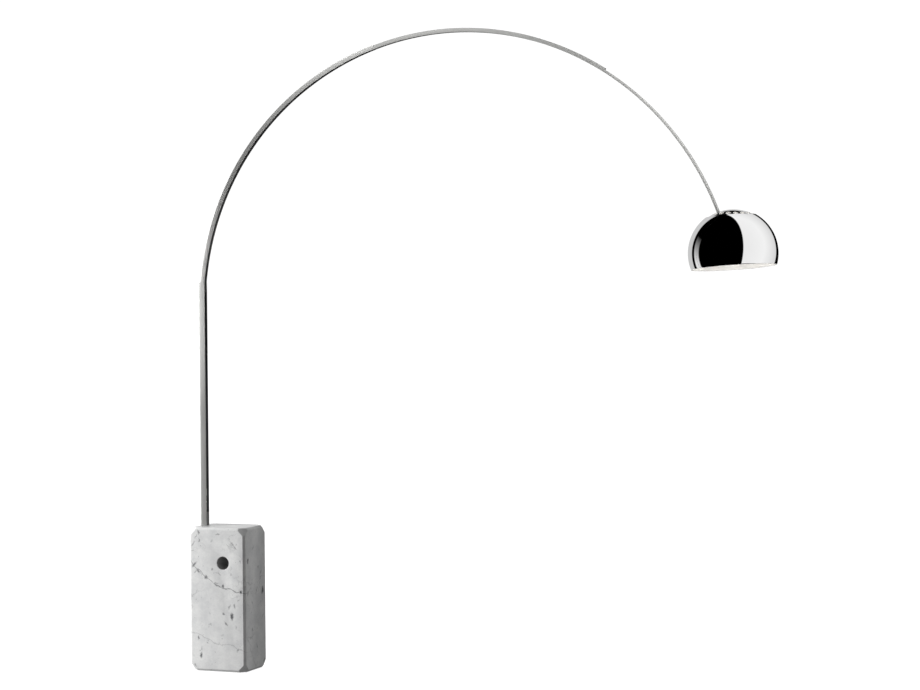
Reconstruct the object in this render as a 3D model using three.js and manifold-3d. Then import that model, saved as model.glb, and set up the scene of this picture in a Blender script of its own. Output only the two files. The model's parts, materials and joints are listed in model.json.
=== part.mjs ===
// Arc floor lamp: a marble block, a stem, a three-section telescoping arc and a dome shade.
// Millimetres, +Z up. The origin is the centre of the block's underside and +X runs out under the arc.
import * as THREE from 'three';
import { ConvexGeometry } from 'three/addons/geometries/ConvexGeometry.js';
import { mergeVertices } from 'three/addons/utils/BufferGeometryUtils.js';
import Module from 'manifold-3d';

// ---- Driving dimensions ----
const GAP = 0.3; // between faces that touch on the real lamp
const WALL = 1.5; // every steel channel
const PAST = 1; // how far a cutting tool runs past the face it opens

const BASE_WIDTH = 236; // along X
const BASE_DEPTH = 184; // along Y
const BASE_HEIGHT = 550;
const BASE_CHAMFER = 8; // on every edge
const BASE_CORNER = 36.5; // how far a corner's cut plane reaches along the three edges, summed
const HANDLE_HOLE = { x: 25.5, z: 416, radius: 25, flare: 2 };

const STEM_LEFT = -109; // back web of the stem
const STEM_DEPTH = 24.5; // along X, from the web to the open side
const STEM_WIDTH = 24; // along Y
const STEM_TOP = 1490;
const STEM_POCKET = 40; // how deep the stem stands in the block
const stemMiddle = STEM_LEFT + WALL + (STEM_DEPTH - WALL) / 2;
const stemInside = { web: STEM_LEFT + WALL, open: STEM_LEFT + STEM_DEPTH, half: STEM_WIDTH / 2 - WALL };
const stemBottom = BASE_HEIGHT - STEM_POCKET + GAP;

const ROD = { x: stemMiddle, radius: 5, bottom: 3, top: 556 };
const COUNTERBORE = { radius: 12, depth: 18 };
const ROD_WASHER = { bore: 5.5, radius: 10, thick: 2 };
const ROD_NUT = { flats: 16, height: 8 };

const FLANGE_SCREW = 2; // shank radius
const SCREW_TIP = 2; // a tapped hole stops this far from the lamp's middle plane
const SCREW_SIDES = 16;
const PAN_HEAD = { radius: 1.8, edge: 0.7, crown: 1.2, height: 1.1 }; // in shank radii
const FOOT_BLOCK_TOP = 600;
const FOOT_SCREWS = [574, 590];
const OUTLET = { z: 640, hole: 5, bore: 3, flange: 7, lip: 6, inside: 2, outside: 2.4 };
const TERMINAL = { bottom: 664, top: 690, near: -7, far: 9, front: -93 };
const TERMINAL_WAYS = [-3.8, 1, 5.8];
const TERMINAL_WELL = { radius: 1.9, depth: 6 };
const TERMINAL_SCREW = { radius: 1.5, length: 4, sunk: 1.5 };
const COUPLER = { front: -97, bottom: 1380, top: 1450, tongueFrom: 1430, tongueTop: 1570, tongueInset: 7.5 };
const COUPLER_SCREWS = { x: (stemInside.web + COUPLER.front) / 2, heights: [1396, 1432] };
const SECTION_1_SCREWS = [1512, 1548];

const ARC_CENTRE = { x: 949, z: 1332 };
const ARC_RADIUS = 1068; // to the channels' open edge, which every section shares
const FOOT_RADIUS = 1000; // the lowest stretch of section 1 is rolled tighter
const FOOT_BLEND = 125; // degrees about the arc's centre, where the tighter stretch begins
const SECTION_1 = { width: 20.4, depth: 17, from: 107 };
const SECTION_2 = { width: 16.8, depth: 14.7, from: 57, to: 117 };
const SECTION_3 = { width: 13.2, depth: 9.5, from: 19.5, to: 67 };
const SECTION_1_FOOT_Z = 1452; // section 1 reaches down into the stem to here
const DEGREES_PER_STEP = 2;
const LOCK_1 = { angles: [108.6, 110.6], inset: 7 }; // clamp screws near section 1's mouth
const LOCK_2 = { angles: [58.6, 60.6], inset: 5 };
const CLAMP_SCREW = { radius: 2, proud: 0.05 }; // its tip stands just outside the channel's inner face
const SLIDE = { setback: 0.2, length: 1.4 }; // degrees, from a channel's end

const HEAD = { x: 2004, z: 1567 }; // centre of the dome's sphere
const SHADE_RADIUS = 159;
const SHADE_RIM_DROP = 50; // the rim lies this far below the sphere's centre
const SHADE_OPENING = 34; // degrees from the dome's top, where the cap shows through
const SHADE_LEAN = { x: -1.5, y: -3.9 }; // degrees, as it rests on the cap
const CAP_RADIUS = 155;
const CAP_EDGE = 50;
const SHEET = 1.4; // spun aluminium
const VENTS = { places: 16, polar: 25.5, radius: 9 }; // the arc's slot takes one of the places
const ARC_SLOT = { play: 0.4, above: 0.5, from: 19.2, to: 22.6 }; // where section 3 enters the cap
const GLIDE = { inner: 155.7, outer: 156.2, from: 42.5, to: 46 };
const HEAD_SCREWS = { angles: [19.9, 20.35], radius: 1.3, hole: 2.2, tip: 2.5 };
const TONGUE = { near: 0.3, far: 4.8, insetFrom: 0.9, insetTo: 7.6, from: 19.1, to: 22.5 };
const BOSS = { radius: 9, bottom: 110, top: 117, barReach: 45 };
const STUD = { radius: 4, bottom: 92, top: CAP_RADIUS - SHEET - 1, headRadius: 10, headHeight: 2 };
const HEAD_NUT = { flats: 13, height: 5 };
const HOLDER = { radius: 20, wall: 3, top: 104, split: 80, mouth: 44, play: 0.4, edge: 4, bevel: 3, step: 0.6 };
const THREAD = { radius: 15.2, wall: 1, bottom: 47, top: 72 };
const CONTACT_BLOCK = { radius: 16, bottom: 72.3, top: 78 };
const CONTACT = { tip: 3, radius: 5, bottom: 69.8, edge: 71 };
const BULB_CAP = { radius: 13.4, bottom: 42, top: 66, bevel: 3, shoulder: 8, contact: 4 };
const BULB = { radius: 30, neck: 13, centre: -8, wall: 1, blend: 52, coneFrom: 27, coneTo: 34, flare: 2 };
const DOME_SEGMENTS = 40;

const LEAD_RADIUS = 2;
const LEAD_SIDE = 2.6; // the two leads lie either side of the channels' middle
const LEAD_INSET = 4; // from the channels' open edge to the lead's middle
const STEM_LEAD_END = 121;
const ARM_LEAD = { tail: 131, end: 20.4 };
const LEAD_ENTRY = { x: -12, y: -8, play: 0.5 }; // the hole in the lampholder's cap
const LEAD_STEPS = { channel: 40, head: 24 };

const rad = THREE.MathUtils.degToRad;
const wasm = await Module();
wasm.setup();

// ---- Materials ----
function finish(color, roughness, metalness) {
  return new THREE.MeshStandardMaterial({ color, roughness, metalness });
}

const marble = finish(0xd9d9d7, 0.25, 0);
const satinSteel = finish(0xb4b4b2, 0.35, 1);
const zincSteel = finish(0xa2a5a6, 0.45, 1);
const brightAluminium = finish(0xe6e6e6, 0.06, 1);
const brass = finish(0xc39b4f, 0.3, 1);
const porcelain = finish(0xefeee8, 0.3, 0);
const bakelite = finish(0x17171a, 0.35, 0);
const nylon = finish(0x2a2b2c, 0.6, 0);
const rubber = finish(0x1c1c1c, 0.8, 0);
const leadSheath = finish(0x202021, 0.55, 0);
const frostedGlass = finish(0xf6f5f0, 0.5, 0);

const lamp = new THREE.Group();
const head = new THREE.Group();
const shadeTilt = new THREE.Group();
head.position.set(HEAD.x, 0, HEAD.z);
shadeTilt.rotation.set(rad(SHADE_LEAN.x), rad(SHADE_LEAN.y), 0);
head.add(shadeTilt);
lamp.add(head);

function piece(parent, name, material, geometry) {
  const mesh = new THREE.Mesh(geometry, material);
  mesh.name = name;
  parent.add(mesh);
  return mesh;
}

// ---- Joining and cutting ----
function toSolid(geometry) {
  const bare = geometry.clone();
  bare.deleteAttribute('normal');
  bare.deleteAttribute('uv');
  const merged = mergeVertices(bare, 1e-4);
  return new wasm.Manifold(new wasm.Mesh({
    numProp: 3,
    vertProperties: new Float32Array(merged.attributes.position.array),
    triVerts: new Uint32Array(merged.index.array),
  }));
}

function toGeometry(solid) {
  const mesh = solid.getMesh();
  const geometry = new THREE.BufferGeometry();
  geometry.setAttribute('position', new THREE.BufferAttribute(mesh.vertProperties, 3));
  geometry.setIndex(new THREE.BufferAttribute(mesh.triVerts, 1));
  return geometry;
}

function cut(geometry, tools) {
  return toGeometry(tools.reduce((solid, tool) => solid.subtract(toSolid(tool)), toSolid(geometry)));
}

function join(geometries) {
  return toGeometry(geometries.map(toSolid).reduce((a, b) => a.add(b)));
}

// ---- Shapes ----
function block(low, high) {
  const size = high.map((value, i) => value - low[i]);
  const middle = high.map((value, i) => (value + low[i]) / 2);
  return new THREE.BoxGeometry(...size).translate(...middle);
}

function barZ(x, y, radius, bottom, top, sides = 24) {
  const bar = new THREE.CylinderGeometry(radius, radius, top - bottom, sides);
  return bar.rotateX(Math.PI / 2).translate(x, y, (top + bottom) / 2);
}

function barY(x, z, radius, near, far, sides = 24) {
  const bar = new THREE.CylinderGeometry(radius, radius, far - near, sides);
  return bar.translate(0, (far + near) / 2, 0).translate(x, 0, z);
}

// A body of revolution about Z from [radius, z] points listed anticlockwise, up the outside.
function turned(profile, segments = 32) {
  const points = profile.map(([radius, z]) => new THREE.Vector2(radius, z));
  return new THREE.LatheGeometry(points, segments).rotateX(Math.PI / 2);
}

// A closed ring of revolution: the profile comes back to its first point.
function turnedRing(profile, segments = 32) {
  return turned([...profile, profile[0]], segments);
}

// Points on a circle about the Z axis' origin, by the angle from +Z.
function polarPoints(radius, from, to, count) {
  return Array.from({ length: count + 1 }, (_, i) => {
    const angle = rad(from + ((to - from) * i) / count);
    return [radius * Math.sin(angle), radius * Math.cos(angle)];
  });
}

function sphericalShell(outer, inner, from, to, count, segments) {
  return turnedRing([...polarPoints(outer, to, from, count), ...polarPoints(inner, from, to, count)], segments);
}

function hexNut(x, y, flats, bore, bottom, top) {
  const centre = new THREE.Vector2();
  const corners = Array.from({ length: 6 }, (_, i) => (
    new THREE.Vector2(flats / Math.sqrt(3), 0).rotateAround(centre, (i * Math.PI) / 3)
  ));
  const outline = new THREE.Shape(corners);
  outline.holes.push(new THREE.Path().absarc(0, 0, bore, 0, 2 * Math.PI, true));
  const options = { depth: top - bottom, bevelEnabled: false, curveSegments: 10 };
  return new THREE.ExtrudeGeometry(outline, options).translate(x, y, bottom);
}

// An arc in the XZ plane, by angles about its centre in degrees from +X towards +Z.
class PlaneArc extends THREE.Curve {
  constructor(centre, radius, from, to, y = 0) {
    super();
    Object.assign(this, { centre, radius, from, to, y });
  }

  getPoint(t, target = new THREE.Vector3()) {
    const angle = rad(this.from + (this.to - this.from) * t);
    return target.set(
      this.centre.x + this.radius * Math.cos(angle), this.y, this.centre.z + this.radius * Math.sin(angle),
    );
  }
}

// Section 1's lowest stretch meets the main arc tangentially, so its centre lies on the same ray.
const footCentre = {
  x: ARC_CENTRE.x + (ARC_RADIUS - FOOT_RADIUS) * Math.cos(rad(FOOT_BLEND)),
  z: ARC_CENTRE.z + (ARC_RADIUS - FOOT_RADIUS) * Math.sin(rad(FOOT_BLEND)),
};

function footAngle(z, radius = FOOT_RADIUS) {
  return 180 - THREE.MathUtils.radToDeg(Math.asin((z - footCentre.z) / radius));
}

function mainArc(offset, from, to, y = 0) {
  return new PlaneArc(ARC_CENTRE, ARC_RADIUS + offset, from, to, y);
}

function footArc(offset, from, to, y = 0) {
  return new PlaneArc(footCentre, FOOT_RADIUS + offset, from, to, y);
}

function chain(...curves) {
  const path = new THREE.CurvePath();
  curves.forEach((curve) => path.add(curve));
  return path;
}

// Sweeps an outline along a path in the XZ plane that runs towards the lamp's head.
// The outline's x is -Y, and its y points to the arc's centre.
function sweep(points, path, steps) {
  const outline = new THREE.Shape(points.map(([x, y]) => new THREE.Vector2(x, y)));
  return new THREE.ExtrudeGeometry(outline, { steps, extrudePath: path, bevelEnabled: false });
}

function stepsFor(degrees) {
  return Math.max(2, Math.round(degrees / DEGREES_PER_STEP));
}

// A channel's outline: the open side is at y = 0 and the web at y = -depth.
function channelOutline(width, depth) {
  const half = width / 2;
  const inner = half - WALL;
  return [
    [-half, 0], [-half, -depth], [half, -depth], [half, 0],
    [inner, 0], [inner, -depth + WALL], [-inner, -depth + WALL], [-inner, 0],
  ];
}

function barOutline(yFrom, yTo, insetFrom, insetTo) {
  return [[-yTo, -insetTo], [-yFrom, -insetTo], [-yFrom, -insetFrom], [-yTo, -insetFrom]];
}

function onMainArc(offset, angle) {
  return mainArc(offset, angle, angle).getPoint(0);
}

function onFootArc(offset, z) {
  const angle = footAngle(z);
  return footArc(offset, angle, angle).getPoint(0);
}

// A pan-head screw along Y through a channel's rear flange: shank inwards, head outside.
function flangeScrew(x, z, tip, seat, size) {
  const profile = [
    [0, tip], [size, tip], [size, seat],
    [PAN_HEAD.radius * size, seat], [PAN_HEAD.radius * size, seat + PAN_HEAD.edge * size],
    [PAN_HEAD.crown * size, seat + PAN_HEAD.height * size], [0, seat + PAN_HEAD.height * size],
  ];
  const points = profile.map(([radius, y]) => new THREE.Vector2(radius, y));
  return new THREE.LatheGeometry(points, 12).translate(x, 0, z);
}

// ---- Marble block and the tie rod that clamps the stem to it ----
function marbleBlock() {
  const corner = [0, BASE_CHAMFER, BASE_CORNER - BASE_CHAMFER];
  const orders = [[0, 1, 2], [0, 2, 1], [1, 0, 2], [1, 2, 0], [2, 0, 1], [2, 1, 0]];
  const points = [];
  for (const sx of [-1, 1]) {
    for (const sy of [-1, 1]) {
      for (const top of [false, true]) {
        for (const [a, b, c] of orders) {
          points.push(new THREE.Vector3(
            sx * (BASE_WIDTH / 2 - corner[a]),
            sy * (BASE_DEPTH / 2 - corner[b]),
            top ? BASE_HEIGHT - corner[c] : corner[c],
          ));
        }
      }
    }
  }
  const { x, z, radius, flare } = HANDLE_HOLE;
  const holeSides = 36;
  const reach = BASE_DEPTH / 2 + PAST;
  const flareLength = flare + PAST;
  const flares = [-1, 1].map((side) => {
    const near = side > 0 ? radius + flareLength : radius;
    const far = side > 0 ? radius : radius + flareLength;
    const cone = new THREE.CylinderGeometry(near, far, flareLength, holeSides);
    return cone.translate(x, side * (reach - flareLength / 2), z);
  });
  const pocket = block(
    [STEM_LEFT - 2 * GAP, -STEM_WIDTH / 2 - GAP, BASE_HEIGHT - STEM_POCKET],
    [STEM_LEFT + STEM_DEPTH + GAP, STEM_WIDTH / 2 + GAP, BASE_HEIGHT + PAST],
  );
  return cut(new ConvexGeometry(points), [
    barY(x, z, radius, -reach, reach, holeSides),
    ...flares,
    pocket,
    barZ(ROD.x, 0, ROD.radius + 1, -PAST, BASE_HEIGHT - STEM_POCKET + PAST),
    barZ(ROD.x, 0, COUNTERBORE.radius, -PAST, COUNTERBORE.depth),
  ]);
}

const washerTop = COUNTERBORE.depth - GAP;
const washerBottom = washerTop - ROD_WASHER.thick;
const rodNutTop = washerBottom - GAP;

piece(lamp, 'marble_base', marble, marbleBlock());
piece(lamp, 'tie_rod', zincSteel, barZ(ROD.x, 0, ROD.radius, ROD.bottom, ROD.top));
piece(lamp, 'tie_rod_washer', zincSteel, turnedRing([
  [ROD_WASHER.bore, washerBottom], [ROD_WASHER.radius, washerBottom],
  [ROD_WASHER.radius, washerTop], [ROD_WASHER.bore, washerTop],
]).translate(ROD.x, 0, 0));
piece(lamp, 'tie_rod_nut', zincSteel, hexNut(
  ROD.x, 0, ROD_NUT.flats, ROD.radius + GAP, rodNutTop - ROD_NUT.height, rodNutTop,
));

// ---- Stem: a U channel, open towards the arc's inside ----
function stemChannel() {
  const outline = new THREE.Shape([
    [STEM_LEFT, -STEM_WIDTH / 2], [stemInside.open, -STEM_WIDTH / 2],
    [stemInside.open, -stemInside.half], [stemInside.web, -stemInside.half],
    [stemInside.web, stemInside.half], [stemInside.open, stemInside.half],
    [stemInside.open, STEM_WIDTH / 2], [STEM_LEFT, STEM_WIDTH / 2],
  ].map(([x, y]) => new THREE.Vector2(x, y)));
  const channel = new THREE.ExtrudeGeometry(outline, { depth: STEM_TOP - stemBottom, bevelEnabled: false });
  const throughFlange = [stemInside.half - PAST, STEM_WIDTH / 2 + PAST];
  return cut(channel.translate(0, 0, stemBottom), [
    barY(stemMiddle, OUTLET.z, OUTLET.hole, ...throughFlange),
    ...FOOT_SCREWS.map((z) => barY(stemMiddle, z, FLANGE_SCREW + GAP, ...throughFlange)),
    ...COUPLER_SCREWS.heights.map((z) => barY(COUPLER_SCREWS.x, z, FLANGE_SCREW + GAP, ...throughFlange)),
  ]);
}

function footBlock() {
  const body = block(
    [stemInside.web + GAP, -stemInside.half + GAP, stemBottom],
    [stemInside.open, stemInside.half - GAP, FOOT_BLOCK_TOP],
  );
  return cut(body, [
    barZ(ROD.x, 0, ROD.radius + GAP, stemBottom - PAST, ROD.top + 2),
    ...FOOT_SCREWS.map((z) => barY(stemMiddle, z, FLANGE_SCREW + GAP, SCREW_TIP, stemInside.half)),
  ]);
}

const footScrewInset = (COUPLER.tongueInset + SECTION_1.depth - WALL - 2 * GAP) / 2;

// The coupler bolts in the stem, behind the leads, and its curved tongue carries section 1.
function stemCoupler() {
  const inside = SECTION_1.width / 2 - WALL - GAP;
  const path = footArc(0, footAngle(COUPLER.tongueFrom), footAngle(COUPLER.tongueTop));
  const insets = [COUPLER.tongueInset, SECTION_1.depth - WALL - 2 * GAP];
  const tongue = sweep(barOutline(-inside, inside, ...insets), path, 6);
  const body = block(
    [stemInside.web + GAP, -stemInside.half + GAP, COUPLER.bottom],
    [COUPLER.front, stemInside.half - GAP, COUPLER.top],
  );
  return cut(join([body, tongue]), [
    ...COUPLER_SCREWS.heights.map((z) => (
      barY(COUPLER_SCREWS.x, z, FLANGE_SCREW + GAP, SCREW_TIP, stemInside.half)
    )),
    ...SECTION_1_SCREWS.map((z) => {
      const place = onFootArc(footScrewInset, z);
      return barY(place.x, place.z, FLANGE_SCREW + GAP, SCREW_TIP, inside + PAST);
    }),
  ]);
}

piece(lamp, 'stem', satinSteel, stemChannel());
piece(lamp, 'stem_foot_block', zincSteel, footBlock());
FOOT_SCREWS.forEach((z, i) => {
  const screw = flangeScrew(stemMiddle, z, SCREW_TIP + GAP, STEM_WIDTH / 2 + GAP, FLANGE_SCREW);
  piece(lamp, `foot_screw_${i + 1}`, zincSteel, screw);
});
piece(lamp, 'stem_coupler', zincSteel, stemCoupler());
COUPLER_SCREWS.heights.forEach((z, i) => {
  const screw = flangeScrew(COUPLER_SCREWS.x, z, SCREW_TIP + GAP, STEM_WIDTH / 2 + GAP, FLANGE_SCREW);
  piece(lamp, `coupler_screw_${i + 1}`, zincSteel, screw);
});

// The mains cable's outlet: a rubber grommet in the stem's rear flange.
function cableOutlet() {
  const inside = stemInside.half;
  const outside = STEM_WIDTH / 2;
  const neck = OUTLET.hole - GAP;
  const profile = [
    [OUTLET.bore, inside - OUTLET.inside], [OUTLET.flange, inside - OUTLET.inside],
    [OUTLET.flange, inside - GAP], [neck, inside - GAP],
    [neck, outside + GAP], [OUTLET.flange, outside + GAP],
    [OUTLET.lip, outside + OUTLET.outside], [OUTLET.bore, outside + OUTLET.outside],
  ];
  const points = [...profile, profile[0]].map(([radius, y]) => new THREE.Vector2(radius, y));
  return new THREE.LatheGeometry(points, 24).translate(stemMiddle, 0, OUTLET.z);
}

const terminalMiddle = (TERMINAL.bottom + TERMINAL.top) / 2;

// A short bar along X from the terminal block's front inwards.
function terminalBar(radius, y, start, length) {
  const bar = new THREE.CylinderGeometry(radius, radius, length, 12).rotateZ(Math.PI / 2);
  return bar.translate(TERMINAL.front + start - length / 2, y, terminalMiddle);
}

function terminalBlock() {
  const body = block(
    [stemInside.web + GAP, TERMINAL.near, TERMINAL.bottom],
    [TERMINAL.front, TERMINAL.far, TERMINAL.top],
  );
  return cut(body, TERMINAL_WAYS.map((y) => (
    terminalBar(TERMINAL_WELL.radius, y, 2 * PAST, TERMINAL_WELL.depth + 2 * PAST)
  )));
}

piece(lamp, 'cable_outlet', rubber, cableOutlet());
piece(lamp, 'terminal_block', porcelain, terminalBlock());
TERMINAL_WAYS.forEach((y, i) => {
  const { radius, sunk, length } = TERMINAL_SCREW;
  piece(lamp, `terminal_screw_${i + 1}`, brass, terminalBar(radius, y, -sunk, length));
});

// ---- The arc's three sections ----
// A hole along Y through a channel's rear flange.
function flangeHole(place, radius, section) {
  const outside = section.width / 2;
  return barY(place.x, place.z, radius, outside - WALL - PAST, outside + PAST, SCREW_SIDES);
}

function screwHoles(angles, inset, radius, section) {
  return angles.map((angle) => flangeHole(onMainArc(inset, angle), radius, section));
}

function section1() {
  const foot = footArc(0, footAngle(SECTION_1_FOOT_Z), FOOT_BLEND);
  const path = chain(foot, mainArc(0, FOOT_BLEND, SECTION_1.from));
  const degrees = footAngle(SECTION_1_FOOT_Z) - SECTION_1.from;
  const channel = sweep(channelOutline(SECTION_1.width, SECTION_1.depth), path, stepsFor(degrees));
  return cut(channel, [
    ...SECTION_1_SCREWS.map((z) => flangeHole(onFootArc(footScrewInset, z), FLANGE_SCREW + GAP, SECTION_1)),
    ...screwHoles(LOCK_1.angles, LOCK_1.inset, CLAMP_SCREW.radius + GAP, SECTION_1),
  ]);
}

function section2() {
  const path = mainArc(0, SECTION_2.to, SECTION_2.from);
  const steps = stepsFor(SECTION_2.to - SECTION_2.from);
  const channel = sweep(channelOutline(SECTION_2.width, SECTION_2.depth), path, steps);
  return cut(channel, screwHoles(LOCK_2.angles, LOCK_2.inset, CLAMP_SCREW.radius + GAP, SECTION_2));
}

const headScrewInset = (TONGUE.insetFrom + TONGUE.insetTo) / 2;

function section3() {
  const path = mainArc(0, SECTION_3.to, SECTION_3.from);
  const steps = stepsFor(SECTION_3.to - SECTION_3.from);
  const channel = sweep(channelOutline(SECTION_3.width, SECTION_3.depth), path, steps);
  return cut(channel, screwHoles(HEAD_SCREWS.angles, headScrewInset, HEAD_SCREWS.radius + GAP, SECTION_3));
}

function lockScrews(prefix, { angles, inset }, section) {
  const half = section.width / 2;
  const tip = half - WALL + CLAMP_SCREW.proud;
  angles.forEach((angle, i) => {
    const place = onMainArc(inset, angle);
    const screw = flangeScrew(place.x, place.z, tip, half + GAP, CLAMP_SCREW.radius);
    piece(lamp, `${prefix}_${i + 1}`, zincSteel, screw);
  });
}

// Nylon slides fill the height between section 3's web and section 2's.
function slide(from) {
  const half = SECTION_2.width / 2 - WALL - GAP;
  const insets = [SECTION_3.depth + GAP, SECTION_2.depth - WALL - 2 * GAP];
  return sweep(barOutline(-half, half, ...insets), mainArc(0, from + SLIDE.length, from), 3);
}

piece(lamp, 'arc_section_1', satinSteel, section1());
SECTION_1_SCREWS.forEach((z, i) => {
  const place = onFootArc(footScrewInset, z);
  const screw = flangeScrew(place.x, place.z, SCREW_TIP + GAP, SECTION_1.width / 2 + GAP, FLANGE_SCREW);
  piece(lamp, `section_1_screw_${i + 1}`, zincSteel, screw);
});
lockScrews('lock_screw_1', LOCK_1, SECTION_1);
piece(lamp, 'arc_section_2', satinSteel, section2());
lockScrews('lock_screw_2', LOCK_2, SECTION_2);
piece(lamp, 'mouth_slide', nylon, slide(SECTION_2.from + SLIDE.setback));
piece(lamp, 'arc_section_3', satinSteel, section3());
piece(lamp, 'tail_slide', nylon, slide(SECTION_3.to - SLIDE.setback - SLIDE.length));

// ---- Head bracket, vent cap and its stud ----
// The bracket's tongue lies in section 3's tip, and a bar runs from it to the boss on the head's axis.
function headBracket() {
  const insets = [TONGUE.insetFrom, TONGUE.insetTo];
  const path = mainArc(0, TONGUE.to, TONGUE.from);
  const tongue = sweep(barOutline(TONGUE.near, TONGUE.far, ...insets), path, 4);
  const bar = block([-BOSS.barReach, TONGUE.near, BOSS.bottom], [0, TONGUE.far, BOSS.top]);
  const boss = barZ(0, 0, BOSS.radius, BOSS.bottom, BOSS.top);
  const { angles, radius, hole } = HEAD_SCREWS;
  const holes = angles.map((angle) => {
    const place = onMainArc(headScrewInset, angle);
    const drill = barY(place.x, place.z, radius + GAP, hole, TONGUE.far + PAST, SCREW_SIDES);
    return drill.translate(-HEAD.x, 0, -HEAD.z);
  });
  return cut(join([bar, boss, tongue.translate(-HEAD.x, 0, -HEAD.z)]), [
    ...holes,
    barZ(0, 0, STUD.radius + GAP, BOSS.bottom - PAST, BOSS.top + PAST),
  ]);
}

function ventCap() {
  const shell = sphericalShell(CAP_RADIUS, CAP_RADIUS - SHEET, 0, CAP_EDGE, 7, DOME_SEGMENTS);
  const slotHalf = SECTION_3.width / 2 + ARC_SLOT.play;
  const slotOutline = barOutline(-slotHalf, slotHalf, -ARC_SLOT.above, SECTION_3.depth + ARC_SLOT.play);
  const slot = sweep(slotOutline, mainArc(0, ARC_SLOT.to, ARC_SLOT.from), 3).translate(-HEAD.x, 0, -HEAD.z);
  const drillHalf = 15;
  const vents = [];
  for (let i = 1; i < VENTS.places; i += 1) {
    const drill = barZ(0, 0, VENTS.radius, CAP_RADIUS - drillHalf, CAP_RADIUS + drillHalf, 12);
    vents.push(drill.rotateY(rad(VENTS.polar)).rotateZ(rad(180 + (360 * i) / VENTS.places)));
  }
  return cut(shell, [slot, ...vents]);
}

piece(head, 'head_bracket', zincSteel, headBracket());
HEAD_SCREWS.angles.forEach((angle, i) => {
  const place = onMainArc(headScrewInset, angle);
  const seat = SECTION_3.width / 2 + GAP;
  const screw = flangeScrew(place.x, place.z, HEAD_SCREWS.tip, seat, HEAD_SCREWS.radius);
  piece(lamp, `head_screw_${i + 1}`, zincSteel, screw);
});
piece(head, 'vent_cap', brightAluminium, ventCap());
piece(head, 'cap_stud', zincSteel, turned([
  [0, STUD.bottom], [STUD.radius, STUD.bottom], [STUD.radius, STUD.top - STUD.headHeight],
  [STUD.headRadius, STUD.top - STUD.headHeight], [STUD.headRadius, STUD.top], [0, STUD.top],
], 24));

// ---- Lampholder and bulb ----
const nutBottoms = {
  stud_nut_upper: BOSS.top + GAP,
  stud_nut_lower: BOSS.bottom - GAP - HEAD_NUT.height,
  holder_nut: HOLDER.top - HOLDER.wall - GAP - HEAD_NUT.height,
};
for (const [name, bottom] of Object.entries(nutBottoms)) {
  const top = bottom + HEAD_NUT.height;
  piece(head, name, zincSteel, hexNut(0, 0, HEAD_NUT.flats, STUD.radius + GAP, bottom, top));
}

const holderInner = HOLDER.radius - HOLDER.wall;

function holderCap() {
  const bore = STUD.radius + HOLDER.play;
  const roof = HOLDER.top - HOLDER.wall;
  const shell = turnedRing([
    [bore, roof], [holderInner, roof], [holderInner, HOLDER.split], [HOLDER.radius, HOLDER.split],
    [HOLDER.radius, HOLDER.top - HOLDER.edge], [HOLDER.radius - HOLDER.bevel, HOLDER.top], [bore, HOLDER.top],
  ]);
  const { x, y, play } = LEAD_ENTRY;
  return cut(shell, [barZ(x, y, LEAD_RADIUS + play, roof - PAST, HOLDER.top + PAST, SCREW_SIDES)]);
}

// The globe's outline from its lowest point up to the neck, as a circle that blends into a cone.
function bulbProfile(radius, neck) {
  const globe = polarPoints(radius, 180, BULB.blend, 6).map(([r, z]) => [r, z + BULB.centre]);
  const cone = [[neck + BULB.flare, BULB.coneFrom], [neck, BULB.coneTo]];
  return [...globe, ...cone, [neck, BULB_CAP.bottom - GAP]];
}

function bulbGlass() {
  const outside = bulbProfile(BULB.radius, BULB.neck);
  const inside = bulbProfile(BULB.radius - BULB.wall, BULB.neck - BULB.wall).reverse();
  return turned([...outside, ...inside], 18);
}

piece(head, 'lampholder_cap', bakelite, holderCap());
piece(head, 'lampholder_barrel', bakelite, turnedRing([
  [holderInner, HOLDER.mouth], [HOLDER.radius - HOLDER.step, HOLDER.mouth],
  [HOLDER.radius - HOLDER.step, HOLDER.split - GAP], [holderInner, HOLDER.split - GAP],
]));
piece(head, 'thread_shell', brass, turnedRing([
  [THREAD.radius - THREAD.wall, THREAD.bottom], [THREAD.radius, THREAD.bottom], [THREAD.radius, THREAD.top],
  [THREAD.radius - THREAD.wall, THREAD.top],
]));
piece(head, 'contact_block', porcelain, turned([
  [0, CONTACT_BLOCK.bottom], [CONTACT_BLOCK.radius, CONTACT_BLOCK.bottom],
  [CONTACT_BLOCK.radius, CONTACT_BLOCK.top], [0, CONTACT_BLOCK.top],
]));
piece(head, 'centre_contact', brass, turned([
  [0, CONTACT.bottom], [CONTACT.tip, CONTACT.bottom], [CONTACT.radius, CONTACT.edge],
  [CONTACT.radius, CONTACT_BLOCK.bottom - GAP], [0, CONTACT_BLOCK.bottom - GAP],
], 20));
piece(head, 'bulb_cap', zincSteel, turned([
  [0, BULB_CAP.bottom], [BULB_CAP.radius, BULB_CAP.bottom], [BULB_CAP.radius, BULB_CAP.top - BULB_CAP.bevel],
  [BULB_CAP.shoulder, BULB_CAP.top], [BULB_CAP.contact, BULB_CAP.top + BULB_CAP.bevel],
  [0, BULB_CAP.top + BULB_CAP.bevel],
]));
piece(head, 'bulb_glass', frostedGlass, bulbGlass());

// ---- Shade, resting on the cap by its glide ring ----
const rimAngle = 180 - THREE.MathUtils.radToDeg(Math.acos(SHADE_RIM_DROP / SHADE_RADIUS));
piece(shadeTilt, 'glide_ring', nylon, sphericalShell(
  GLIDE.outer, GLIDE.inner, GLIDE.from, GLIDE.to, 1, DOME_SEGMENTS,
));
piece(shadeTilt, 'shade', brightAluminium, sphericalShell(
  SHADE_RADIUS, SHADE_RADIUS - SHEET, SHADE_OPENING, rimAngle, 9, DOME_SEGMENTS,
));

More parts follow.
